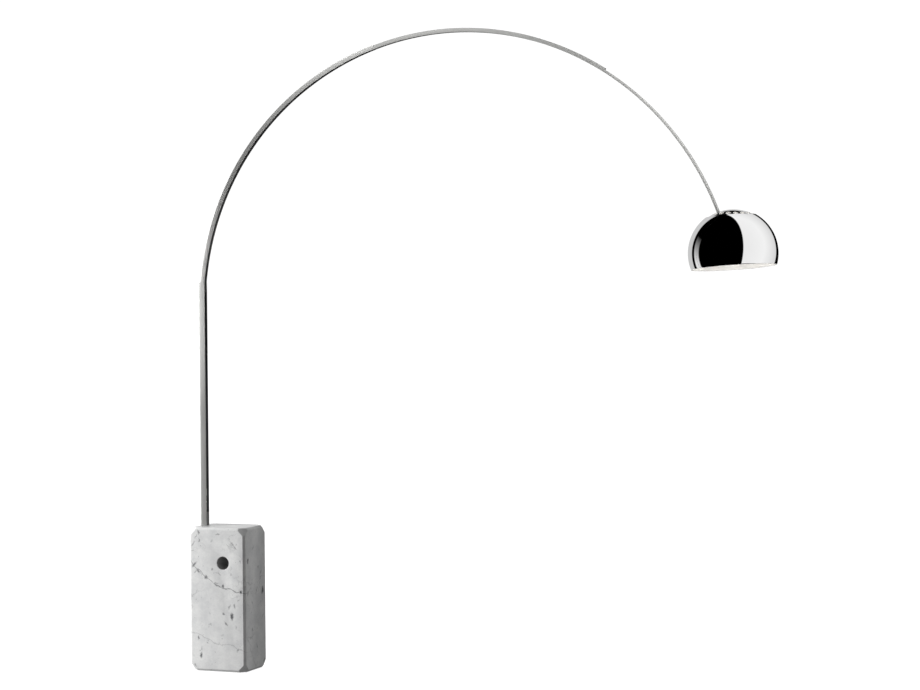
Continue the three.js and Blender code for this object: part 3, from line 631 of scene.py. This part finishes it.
# ---- Turned and hexagonal fasteners ----
def hexagon(flats, limit=1e3):
    """Radius of a hexagon across its flats by angle, cut back to a circle."""
    def radius(angle):
        turn = angle % (math.pi / 3) - math.pi / 6
        return min(flats / 2 / math.cos(turn), limit)
    return radius


def helix(radius, depth, pitch, z):
    """Radius of a screw thread by angle at height z."""
    def thread(angle):
        phase = (z / pitch - angle / (2 * math.pi)) % 1
        return radius - depth * abs(2 * phase - 1)
    return thread


def threaded(radius, depth, pitch, low, high, per_pitch=6):
    count = round((high - low) / pitch * per_pitch)
    heights = [low + (high - low) * i / count for i in range(count + 1)]
    return [(helix(radius, depth, pitch, z), z) for z in heights]


def tie_rod():
    low, high = 3, 556
    thread = 48
    piece("tie_rod", revolve([
        (0, low), (ROD_RADIUS - 0.8, low),
        *threaded(ROD_RADIUS, 0.6, 1.5, low + 0.8, low + thread),
        (ROD_RADIUS - 0.3, low + thread + 1), (ROD_RADIUS - 0.3, high - thread - 1),
        *threaded(ROD_RADIUS, 0.6, 1.5, high - thread, high - 0.8),
        (ROD_RADIUS - 0.8, high), (0, high),
    ], 32, place=Matrix.Translation((STEM_MIDDLE, 0, 0))))


def nut(node, flats, bore, low, high, place):
    corner = flats / math.sqrt(3)
    face = flats / 2 * 0.98
    steps = [(face + (corner - face) * (i / 5) ** 0.6, 0.9 * i / 5) for i in range(6)]
    outside = [(hexagon(flats, limit), low + rise) for limit, rise in steps]
    outside += [(hexagon(flats, limit), high - rise) for limit, rise in reversed(steps)]
    inside = [(bore + 0.5, high), (bore, high - 0.5), (bore, low + 0.5), (bore + 0.5, low)]
    piece(node, revolve(outside + inside, 72, closed=True, place=place))


def washer():
    low, high, inner, outer = 15.7, 17.7, 5.5, 10
    profile = [
        (inner, low + 0.2), (inner + 0.2, low), (outer - 0.3, low), (outer, low + 0.3),
        (outer, high - 0.3), (outer - 0.3, high), (inner + 0.2, high), (inner, high - 0.2),
    ]
    place = Matrix.Translation((STEM_MIDDLE, 0, 0))
    piece("tie_rod_washer", revolve(profile, 64, closed=True, place=place))


def flange_screw(node, x, z, tip, seat, size):
    """A pan-head screw along +Y with a hexagon socket."""
    head, height = 1.8 * size, 1.1 * size
    socket, depth = 1.25 * size, 0.6 * size
    crown = arc(head - 0.6 * height, seat + 0.4 * height, 0.6 * height, 0, 80, 6)
    piece(node, revolve([
        (0, tip), (size - 0.3, tip), (size, tip + 0.3), (size, seat), (head - 0.15, seat), (head, seat + 0.15),
        *crown, (hexagon(socket + 0.3), seat + height), (hexagon(socket), seat + height - 0.15),
        (hexagon(socket), seat + height - depth), (0, seat + height - depth - 0.3 * size),
    ], 48, place=along_y(x, z)), sharp=35)


# ---- Stem ----
def give_insides_painted_shade(mesh, flange):
    """Gives the faces inside a channel its second material, the dark steel whose colour is painted shade inside the
    channel. Every channel is open towards the arc's centre.
    """
    for face in mesh.polygons:
        middle = face.center / MM
        inwards = Vector((ARC_CENTRE[0] - middle.x, 0, ARC_CENTRE[1] - middle.z)).normalized()
        inside_flange = abs(abs(middle.y) - flange) < 0.05
        inside_web = abs(middle.y) < flange and face.normal.dot(inwards) > 0.5
        face.material_index = int(inside_flange or inside_web)


def stem():
    inset = [0, STEM_HIGH.x - STEM_LOW.x]
    outline = channel(STEM_HIGH.y - STEM_LOW.y, inset[1])
    count = 40
    rise = (STEM_HIGH.z - STEM_LOW.z) / count
    stations = [(STEM_HIGH.x, STEM_LOW.z + rise * i, -1, 0) for i in range(count + 1)]
    near, far = STEM_HIGH.y - WALL - 1, STEM_HIGH.y + 1
    holes = [drill(x, z, SCREW + GAP, near, far) for x, z in FOOT_SCREWS + COUPLER_SCREWS]
    mesh = carve(sweep(outline, stations), [drill(*OUTLET, 5, near, far), *holes])
    # The channel's inside gets steel painted dark for the shade inside it.
    made = piece("stem", mesh, MATERIALS["satin_steel"], SHADE_PAINTED_STEEL)
    give_insides_painted_shade(made.data, STEM_HIGH.y - WALL)


OUTLET = (STEM_MIDDLE, 640)
FOOT_SCREWS = [(STEM_MIDDLE, 574), (STEM_MIDDLE, 590)]
COUPLER_SCREWS = [(-102.25, 1396), (-102.25, 1432)]


def grommet():
    inside, outside = STEM_HIGH.y - WALL, STEM_HIGH.y
    bore, neck, flange = 3, 4.7, 7
    profile = [
        (bore, inside - 1.6), (bore + 0.5, inside - 2), (flange - 0.6, inside - 2), (flange, inside - 1.4),
        (flange, inside - GAP), (neck, inside - GAP), (neck, outside + GAP), (flange, outside + GAP),
        *arc(flange - 1.8, outside + GAP + 0.3, 1.8, 0, 90, 6), (bore + 0.5, outside + 2.4), (bore, outside + 1.9),
    ]
    piece("cable_outlet", revolve(profile, 64, closed=True, place=along_y(*OUTLET)))


# ---- Arc ----
def screw_holes(places, section, radius):
    half = section["width"] / 2
    return [drill(x, z, radius, half - WALL - 1, half + 1) for x, z in places]


SECTION_1_TONGUE = (COUPLER_TONGUE_INSET + SECTION_1["depth"] - WALL - 2 * GAP) / 2
FOOT_PLACES = [on_foot(SECTION_1_TONGUE, z) for z in (1512, 1548)]
LOCK_PLACES_1 = [on_arc(7, angle) for angle in (108.6, 110.6)]
LOCK_PLACES_2 = [on_arc(5, angle) for angle in (58.6, 60.6)]
HEAD_PLACES = [on_arc(4.25, angle) for angle in (19.9, 20.35)]


def arc_sections():
    foot = foot_arc(foot_angle(SECTION_1["foot"]), FOOT_BLEND)
    lower = foot + main_arc(FOOT_BLEND, SECTION_1["tip"])[1:]
    middle = main_arc(SECTION_2["tail"], SECTION_2["tip"])
    upper = main_arc(SECTION_3["tail"], SECTION_3["tip"])
    holes = {
        1: screw_holes(FOOT_PLACES + LOCK_PLACES_1, SECTION_1, SCREW + GAP),
        2: screw_holes(LOCK_PLACES_2, SECTION_2, SCREW + GAP),
        3: screw_holes(HEAD_PLACES, SECTION_3, HEAD_SCREW + GAP),
    }
    for i, (section, stations) in enumerate([(SECTION_1, lower), (SECTION_2, middle), (SECTION_3, upper)], 1):
        mesh = sweep(channel(section["width"], section["depth"]), stations)
        # The channel's inside gets steel painted dark for the shade inside it.
        made = piece(f"arc_section_{i}", carve(mesh, holes[i]), MATERIALS["satin_steel"], SHADE_PAINTED_STEEL)
        give_insides_painted_shade(made.data, section["width"] / 2 - WALL)
        made.visible_glossy = False


def bar_outline(half, inset_from, inset_to, break_=0.3):
    """A rectangle with broken corners."""
    return [
        (-half + break_, inset_from), (half - break_, inset_from), (half, inset_from + break_),
        (half, inset_to - break_), (half - break_, inset_to), (-half + break_, inset_to),
        (-half, inset_to - break_), (-half, inset_from + break_),
    ]


def slides():
    outline = bar_outline(
        SECTION_2["width"] / 2 - WALL - GAP, SECTION_3["depth"] + GAP, SECTION_2["depth"] - WALL - 2 * GAP
    )
    piece("mouth_slide", sweep(outline, main_arc(SECTION_2["tip"] + 1.6, SECTION_2["tip"] + 0.2)))
    piece("tail_slide", sweep(outline, main_arc(SECTION_3["tail"] - 0.2, SECTION_3["tail"] - 1.6)))


def channel_screws():
    rear = STEM_HIGH.y + GAP
    for i, (x, z) in enumerate(FOOT_SCREWS, 1):
        flange_screw(f"foot_screw_{i}", x, z, SCREW + GAP, rear, SCREW)
    for i, (x, z) in enumerate(COUPLER_SCREWS, 1):
        flange_screw(f"coupler_screw_{i}", x, z, SCREW + GAP, rear, SCREW)
    lower, middle, upper = (section["width"] / 2 for section in (SECTION_1, SECTION_2, SECTION_3))
    for i, (x, z) in enumerate(FOOT_PLACES, 1):
        flange_screw(f"section_1_screw_{i}", x, z, SCREW + GAP, lower + GAP, SCREW)
    for i, (x, z) in enumerate(LOCK_PLACES_1, 1):
        flange_screw(f"lock_screw_1_{i}", x, z, lower - WALL + 0.05, lower + GAP, SCREW)
    for i, (x, z) in enumerate(LOCK_PLACES_2, 1):
        flange_screw(f"lock_screw_2_{i}", x, z, middle - WALL + 0.05, middle + GAP, SCREW)
    for i, (x, z) in enumerate(HEAD_PLACES, 1):
        flange_screw(f"head_screw_{i}", x, z, 2.5, upper + GAP, HEAD_SCREW)


# ---- Head: cap, shade, lampholder and bulb ----
AT_HEAD = Matrix.Translation(HEAD)


def shell_profile(outer, start, stop, count):
    """A spun sheet's outline between two polar angles, with rounded edges."""
    half = SHEET / 2
    middle = outer - half
    pull = math.degrees(half / middle)
    start, stop = start + pull, stop - pull
    ends = []
    for angle, turn in ((stop, -90), (start, 90)):
        x, z = polar(middle, angle, angle, 1)[0]
        facing = 90 - angle
        ends.append(arc(x, z, half, facing, facing + 2 * turn, 6)[1:-1])
    return [
        *polar(outer, start, stop, count), *ends[0],
        *polar(outer - SHEET, stop, start, count), *ends[1],
    ]


def shade():
    profile = shell_profile(SHADE_RADIUS, SHADE_OPENING, SHADE_RIM, 56)
    mesh = revolve(profile, 192, closed=True, place=AT_HEAD @ SHADE_LEAN)
    made = piece("shade", mesh, MATERIALS["bright_dome"], ENAMEL)
    paint_inside(made.data, SHADE_RADIUS)


def paint_inside(mesh, outer):
    centre = HEAD * MM
    limit = (outer - SHEET + 0.25) * MM
    for face in mesh.polygons:
        if all((mesh.vertices[v].co - centre).length < limit for v in face.vertices):
            face.material_index = 1


def vent_cap():
    outer = [(0, CAP_RADIUS), *polar(CAP_RADIUS, 1.5, CAP_EDGE, 40)]
    inner = [*polar(CAP_RADIUS - SHEET, CAP_EDGE, 1.5, 40), (0, CAP_RADIUS - SHEET)]
    mesh = revolve(outer + inner, 160, place=AT_HEAD)
    half = SECTION_3["width"] / 2 + 0.4
    outline = bar_outline(half, -0.5, SECTION_3["depth"] + 0.4, 1.2)
    cutters = [sweep(outline, main_arc(22.6, 19.2))]
    for i in range(1, VENTS["places"]):
        around = math.radians(180 + 360 * i / VENTS["places"])
        lean = Matrix.Rotation(around, 4, "Z") @ Matrix.Rotation(math.radians(VENTS["polar"]), 4, "Y")
        reach = CAP_RADIUS
        hole = [(0, reach - 15), (VENTS["radius"], reach - 15), (VENTS["radius"], reach + 15), (0, reach + 15)]
        cutters.append(revolve(hole, 48, place=AT_HEAD @ lean))
    mesh = carve(mesh, cutters)
    made = piece("vent_cap", mesh, MATERIALS["bright_dome"], ENAMEL)
    paint_inside(made.data, CAP_RADIUS)
    true_sphere_normals(made.data)


def true_sphere_normals(mesh):
    """Keeps reflections on the cap true right up to its holes."""
    centre = HEAD * MM
    normals = [Vector((0, 0, 1))] * len(mesh.loops)
    for face in mesh.polygons:
        facing = face.normal.dot((face.center - centre).normalized())
        for loop in face.loop_indices:
            away = (mesh.vertices[mesh.loops[loop].vertex_index].co - centre).normalized()
            normals[loop] = away if facing > 0.9 else -away if facing < -0.9 else face.normal.copy()
    mesh.normals_split_custom_set(normals)


def glide_ring():
    profile = [*polar(156.2, 42.5, 46, 6), *polar(155.7, 46, 42.5, 6)]
    piece("glide_ring", revolve(profile, 160, closed=True, place=AT_HEAD @ SHADE_LEAN))


def cap_stud():
    piece("cap_stud", revolve([
        (0, 92), (3.2, 92), *threaded(4, 0.6, 1.25, 92.8, 149.5), (3.6, 150.6), (9.6, 150.6), (10, 151),
        (10, 151.8), (9, 152.6), (0, 152.6),
    ], 40, place=AT_HEAD))


def nuts():
    nut("tie_rod_nut", 16, ROD_RADIUS + GAP, 7.4, 15.4, Matrix.Translation((STEM_MIDDLE, 0, 0)))
    for node, low in (("stud_nut_upper", 117.3), ("stud_nut_lower", 104.7), ("holder_nut", 95.7)):
        nut(node, 13, 4 + GAP, low, low + 5, AT_HEAD)


def lampholder():
    entry = Matrix.Translation((-12, -8, 0))
    cap = revolve([
        (4.4, 101), (16, 101), (17, 100), (17, 80), (19.6, 80), (20, 80.4), *arc(16, 100, 4, 0, 90, 8), (4.8, 104),
        (4.4, 103.6),
    ], 96, closed=True, place=AT_HEAD)
    hole = revolve([(0, 100), (2.5, 100), (2.5, 105), (0, 105)], 32, place=AT_HEAD @ entry)
    piece("lampholder_cap", carve(cap, [hole]))

    def ribs(angle):
        return 19.4 - 0.45 * max(0, math.cos(36 * angle)) ** 0.5
    piece("lampholder_barrel", revolve([
        (17, 44.4), (17.4, 44), (19, 44), (19.4, 44.4), (19.4, 49), (ribs, 49.6), (ribs, 75), (19.4, 75.6),
        (19.4, 79.4), (19.1, 79.7), (17.3, 79.7), (17, 79.4),
    ], 288, closed=True, place=AT_HEAD))
    outside = threaded(15.2, 0.5, 3.6, 47.2, 71.8, 8)
    inside = [(helix(14.4, 0.4, 3.6, z), z) for _, z in reversed(outside)]
    piece("thread_shell", revolve(outside + inside, 64, closed=True, place=AT_HEAD))
    piece("contact_block", revolve([
        (0, 72.3), (15.6, 72.3), (16, 72.7), (16, 77.4), (15.4, 78), (0, 78),
    ], 64, place=AT_HEAD))
    piece("centre_contact", revolve([
        (0, 69.8), (2.6, 69.8), (3.4, 70), (5, 71), (5, 72), (0, 72),
    ], 40, place=AT_HEAD))


def bulb():
    def curve(t, a, b, c, d):
        return tuple(
            (1 - t) ** 3 * p + 3 * t * (1 - t) ** 2 * q + 3 * t * t * (1 - t) * r + t ** 3 * s
            for p, q, r, s in zip(a, b, c, d)
        )
    globe = [(r, z - 8) for r, z in polar(30, 180, 52, 40)]
    shoulder = [curve(i / 12, globe[-1], (16.9, 19.1), (13, 25), (13, 34)) for i in range(1, 13)]
    outside = [(0, -38), *globe[1:], *shoulder, (13, 41.7)]
    inside = [(max(0, r - 1), z + (1 if z < -30 else 0)) for r, z in reversed(outside)]
    inside[-1] = (0, -37)
    piece("bulb_glass", revolve(outside + inside, 96, place=AT_HEAD))
    piece("bulb_cap", revolve([
        (0, 42), (12.9, 42), (13.2, 42.6), *threaded(13.4, 1.0, 3.6, 43, 62.6, 8), (11.4, 63.4), (8, 66),
        (4.4, 67.4), (4, 68.4), (3, 69), (0, 69),
    ], 64, place=AT_HEAD))


# ---- Leads ----
def lead_outline(side):
    return [(side + across, LEAD_INSET + inset) for across, inset in arc(0, 0, LEAD_RADIUS, 0, 342, 19)]


def smooth_path(points, per_span=12):
    """A centripetal Catmull-Rom curve through the points."""
    ends = [2 * points[0] - points[1], *points, 2 * points[-1] - points[-2]]
    path = []
    for p0, p1, p2, p3 in zip(ends, ends[1:], ends[2:], ends[3:]):
        d0, d1, d2 = ((b - a).length ** 0.5 for a, b in ((p0, p1), (p1, p2), (p2, p3)))
        start = ((p1 - p0) / d0 - (p2 - p0) / (d0 + d1) + (p2 - p1) / d1) * d1
        stop = ((p2 - p1) / d1 - (p3 - p1) / (d1 + d2) + (p3 - p2) / d2) * d1
        for i in range(per_span):
            t = i / per_span
            path.append(
                p1 * (2 * t ** 3 - 3 * t * t + 1) + start * (t ** 3 - 2 * t * t + t)
                + p2 * (3 * t * t - 2 * t ** 3) + stop * (t ** 3 - t * t)
            )
    return path + [points[-1]]


def tube(path, radius, sides=20):
    """A round tube along a path, with flat ends."""
    verts, faces = [], []
    across = Vector((0, 1, 0))
    for i, point in enumerate(path):
        ahead = (path[min(i + 1, len(path) - 1)] - path[max(i - 1, 0)]).normalized()
        across = (across - ahead * across.dot(ahead)).normalized()
        other = ahead.cross(across)
        for k in range(sides):
            angle = 2 * math.pi * k / sides
            verts.append(point + (across * math.cos(angle) + other * math.sin(angle)) * radius)
    for i in range(len(path) - 1):
        for k in range(sides):
            j = (k + 1) % sides
            faces.append((i * sides + k, i * sides + j, (i + 1) * sides + j, (i + 1) * sides + k))
    faces += [tuple(range(sides)), tuple(range(len(verts) - sides, len(verts)))]
    return make_mesh(verts, faces)


def leads():
    x = FOOT_CENTRE[0] - FOOT_RADIUS
    low = 690 + GAP
    rise = FOOT_CENTRE[1] - low
    straight = [(x, low + rise * i / 40, -1, 0) for i in range(40)]
    stations = straight + foot_arc(180, FOOT_BLEND) + main_arc(FOOT_BLEND, 121)[1:]
    piece("stem_lead", sweep(lead_outline(LEAD_SIDE), stations))
    piece("arm_lead", sweep(lead_outline(-LEAD_SIDE), main_arc(131, 20.4)))
    entry = Vector((HEAD.x - 12, -8, HEAD.z + 104))
    bends = [(-17, 1.5, 11), (-6, 0.2, 12), (0, 0, 3), (0, 0, -9)]
    turns = [(on_arc(LEAD_INSET, 20.2), -LEAD_SIDE), (on_arc(LEAD_INSET, 19.4), -LEAD_SIDE - 0.5)]
    points = [Vector((x, y, z)) for (x, z), y in turns] + [entry + Vector(bend) for bend in bends]
    piece("head_lead", tube(smooth_path(points), LEAD_RADIUS))


# ---- CAD nodes that stay ----
def dress_cad_nodes():
    """Rounds the edges of the CAD nodes still shown and gives them their slot's finish; the foot block and coupler
    inside the stem get steel painted dark for the shade there.
    """
    for node, shown in frame["nodes"].items():
        if shown.hide_render:
            continue
        shown.data.materials.clear()
        # The foot block and coupler sit in the stem's shade, which their dark steel paints.
        inside_stem = node in ("stem_foot_block", "stem_coupler")
        shown.data.materials.append(SHADE_PAINTED_STEEL if inside_stem else MATERIALS[SLOTS[node]])
        weld = shown.modifiers.new("weld", "WELD")
        weld.merge_threshold = 0.00001
        edges = shown.modifiers.new("edges", "BEVEL")
        edges.width, edges.segments, edges.limit_method = 0.0004, 3, "ANGLE"
        edges.harden_normals = False


# ---- Studio ----
def camera():
    """A pinhole camera at the photograph's viewing angle."""
    yaw, pitch, roll = (math.radians(value) for value in (21.193, 0.859, -0.459))
    ahead = Vector((-math.sin(yaw) * math.cos(pitch), math.cos(yaw) * math.cos(pitch), -math.sin(pitch)))
    level = Vector((math.cos(yaw), math.sin(yaw), 0))
    up = level.cross(ahead)
    right, top = level * math.cos(roll) + up * math.sin(roll), up * math.cos(roll) - level * math.sin(roll)
    data = bpy.data.cameras.new("camera")
    data.lens, data.sensor_width, data.clip_end = 87.39, 36, 200
    made = bpy.data.objects.new("camera", data)
    turn = Matrix((right, top, -ahead)).transposed().to_4x4()
    made.matrix_world = Matrix.Translation((3.9527, -7.6976, 1.3695)) @ turn
    bpy.context.scene.collection.objects.link(made)
    bpy.context.scene.camera = made


def floor():
    mesh = bpy.data.meshes.new("floor")
    mesh.from_pydata([(-60, -60, -0.0005), (60, -60, -0.0005), (60, 60, -0.0005), (-60, 60, -0.0005)], [], [(0, 1, 2, 3)])
    mesh.materials.append(plain("pale_floor", (0.9, 0.9, 0.9), 0.7, 0.85, 3, variation=0.01))
    made = bpy.data.objects.new("floor", mesh)
    bpy.context.scene.collection.objects.link(made)
    made.visible_glossy = False
    made.visible_diffuse = False
    made.visible_shadow = False
    return made


def towards(azimuth, elevation):
    a, e = math.radians(azimuth), math.radians(elevation)
    return Vector((math.cos(a) * math.cos(e), math.sin(a) * math.cos(e), math.sin(e)))


def soft_light(name, azimuth, elevation, strength, spread, receivers=None, mirrored=False):
    """A large distant soft box, seen under the given spread in degrees."""
    data = bpy.data.lights.new(name, "SUN")
    data.energy, data.angle = strength, math.radians(spread)
    made = bpy.data.objects.new(name, data)
    made.rotation_mode = "QUATERNION"
    made.rotation_quaternion = towards(azimuth, elevation).to_track_quat("Z", "Y")
    made.visible_glossy = mirrored
    bpy.context.scene.collection.objects.link(made)
    if receivers:
        made.light_linking.receiver_collection = receivers


def soft_box(name, place, aim, size, power, receivers):
    """A square soft box near the lamp."""
    data = bpy.data.lights.new(name, "AREA")
    data.energy, data.size = power, size
    made = bpy.data.objects.new(name, data)
    made.rotation_mode = "QUATERNION"
    made.rotation_quaternion = (Vector(place) - Vector(aim)).to_track_quat("Z", "Y")
    made.location = place
    made.visible_camera = False
    bpy.context.scene.collection.objects.link(made)
    made.light_linking.receiver_collection = receivers


def receivers(name, objects):
    group = bpy.data.collections.new(name)
    for member in objects:
        group.objects.link(member)
    return group


# The studio as the lamp's bright surfaces see it. BACK is the way the camera looks past the dome. Brightness
# goes by the angle in degrees from BACK: LEFT_SIDE has the backdrop, a gap, a strip light and black cloth, and
# RIGHT_SIDE has a black flag and then a tall white screen that reaches over the lamp.
# Above the backdrop there is a dark gap under the ceiling.
BACK = (104.2, 1.3)
SCREEN_FACING = (39.7, -5.3)
FLAG_FACING = (14.2, -20)
LEFT_SIDE = [(0, 0.6), (49.5, 0.6), (51, 0), (62, 0), (63.5, 0.85), (80, 0.7), (82.5, 0), (180, 0)]
RIGHT_SIDE = [(0, 0), (39, 0), (40.5, 0.8), (44, 0.7), (94, 0.93), (146, 0.86), (180, 0.86)]
FLAG_LEAN = 0.11  # how much narrower the flag gets towards its top, in half turns
GAP_FACING = (108, 44)
GAP_REACH = 15  # degrees from its middle to its edge


def studio():
    world = bpy.data.worlds.new("studio")
    bpy.context.scene.world = world
    world.use_nodes = True
    world.cycles.sampling_method = "NONE"
    tree = world.node_tree
    tree.nodes.clear()

    def node(kind, *inputs, output=0, **settings):
        made = tree.nodes.new("ShaderNode" + kind)
        for setting, value in settings.items():
            setattr(made, setting, value)
        for socket, value in zip(made.inputs, inputs):
            if isinstance(value, bpy.types.NodeSocket):
                tree.links.new(value, socket)
            elif value is not None:
                socket.default_value = value
        return made.outputs[output] if made.outputs else made

    def step(value, low, high):
        return node("MapRange", value, low, high, 0.0, 1.0)

    def screens(angle, stops):
        made = node("ValToRGB", angle)
        elements = made.node.color_ramp.elements
        while len(elements) < len(stops):
            elements.new(0.5)
        for element, (degrees, level) in zip(elements, stops):
            element.position = degrees / 180
            element.color = (level, level, level, 1)
        return made

    way = node("TexCoord")
    height = node("SeparateXYZ", way, output=2)
    facing = [
        node("VectorMath", way, towards(*bearing), operation="DOT_PRODUCT", output=1)
        for bearing in (BACK, SCREEN_FACING, FLAG_FACING, GAP_FACING)
    ]
    angle = node("Math", node("Math", facing[0], operation="ARCCOSINE"), 1 / math.pi, operation="MULTIPLY")
    leaning = node("Math", height, FLAG_LEAN, angle, operation="MULTIPLY_ADD")
    beyond = step(angle, 49 / 180, 50.5 / 180)
    side = node("Mix", beyond, None, step(facing[2], -0.02, 0.02), step(facing[1], -0.012, 0.012))
    fade = node("Mix", step(angle, 56 / 180, 58 / 180), None, 1.0, step(height, 0.43, -0.25))
    left = node("VectorMath", screens(angle, LEFT_SIDE), operation="SCALE")
    tree.links.new(fade, left.node.inputs["Scale"])
    right = node("VectorMath", screens(leaning, RIGHT_SIDE), operation="SCALE")
    tree.links.new(node("Mix", step(height, -0.57, -0.5), None, 0.05, 1.0), right.node.inputs["Scale"])
    walls = node("MixRGB", side, left, right)
    edge = math.cos(math.radians(GAP_REACH))
    mirrored = node("MixRGB", step(facing[3], edge - 0.01, edge + 0.005), walls, (0.01, 0.01, 0.01, 1))

    path = tree.nodes.new("ShaderNodeLightPath")
    white = (1, 1, 1, 1)
    soft = node("MixShader", path.outputs["Is Glossy Ray"], node("Background", white, 0.15), node("Background", mirrored))
    seen = node("MixShader", path.outputs["Is Camera Ray"], soft, node("Background", white, 1.05))
    node("OutputWorld", seen)


def lights(ground):
    shown = [thing for thing in bpy.data.objects if thing.get("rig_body") and thing != ground]
    lamp = receivers("lit_lamp", shown)
    arc_pieces = [bpy.data.objects[f"arc_section_{i}_fine"] for i in (1, 2, 3)]
    all_but_arc = receivers("lit_all_but_arc", [thing for thing in shown if thing not in arc_pieces])
    arc_steel = receivers("lit_arc", arc_pieces)
    stem_steel = receivers("lit_stem", [bpy.data.objects["stem_fine"]])
    paving = receivers("lit_floor", [ground])
    soft_light("floor_wash", 0, 90, 0.7, 100, paving)
    soft_light("floor_fill", 0, 90, 3.5, 100, paving)
    bpy.data.lights["floor_fill"].use_shadow = False
    soft_light("key", -150, 20, 4.3, 25, all_but_arc)
    soft_light("bounce", -145, -40, 0.6, 60, lamp)
    soft_light("side", 60, 5, 0.82, 30, lamp)
    soft_light("top", 135, 54, 1.3, 50, lamp)
    soft_light("arc_left", -165, 0, 1.95, 30, arc_steel, mirrored=True)
    soft_light("arc_front", -115, 20, 0.3, 30, arc_steel, mirrored=True)
    soft_light("arc_right", -75, 28, 0.72, 30, arc_steel, mirrored=True)
    soft_light("section_1", -142, 42, 0.68, 20, receivers("lit_section_1", arc_pieces[:1]), mirrored=True)
    upper = receivers("lit_upper_sections", arc_pieces[1:])
    soft_light("upper_high", -125, 40, 0.16, 30, upper, mirrored=True)
    soft_light("upper_back", -165, 40, 0.2, 30, upper, mirrored=True)
    soft_light("stem_left", -165, 0, 1.5, 30, stem_steel, mirrored=True)
    soft_box("stem_beside", (-1.1, -0.5, 1.6), (-0.1, 0, 1.6), 1.0, 4.2, stem_steel)


def build():
    camera()
    marble_block()
    tie_rod()
    washer()
    nuts()
    stem()
    grommet()
    arc_sections()
    slides()
    channel_screws()
    vent_cap()
    shade()
    glide_ring()
    cap_stud()
    lampholder()
    bulb()
    leads()
    dress_cad_nodes()
    studio()
    lights(floor())
    view_settings = bpy.context.scene.view_settings
    view_settings.view_transform = "Standard"


build()
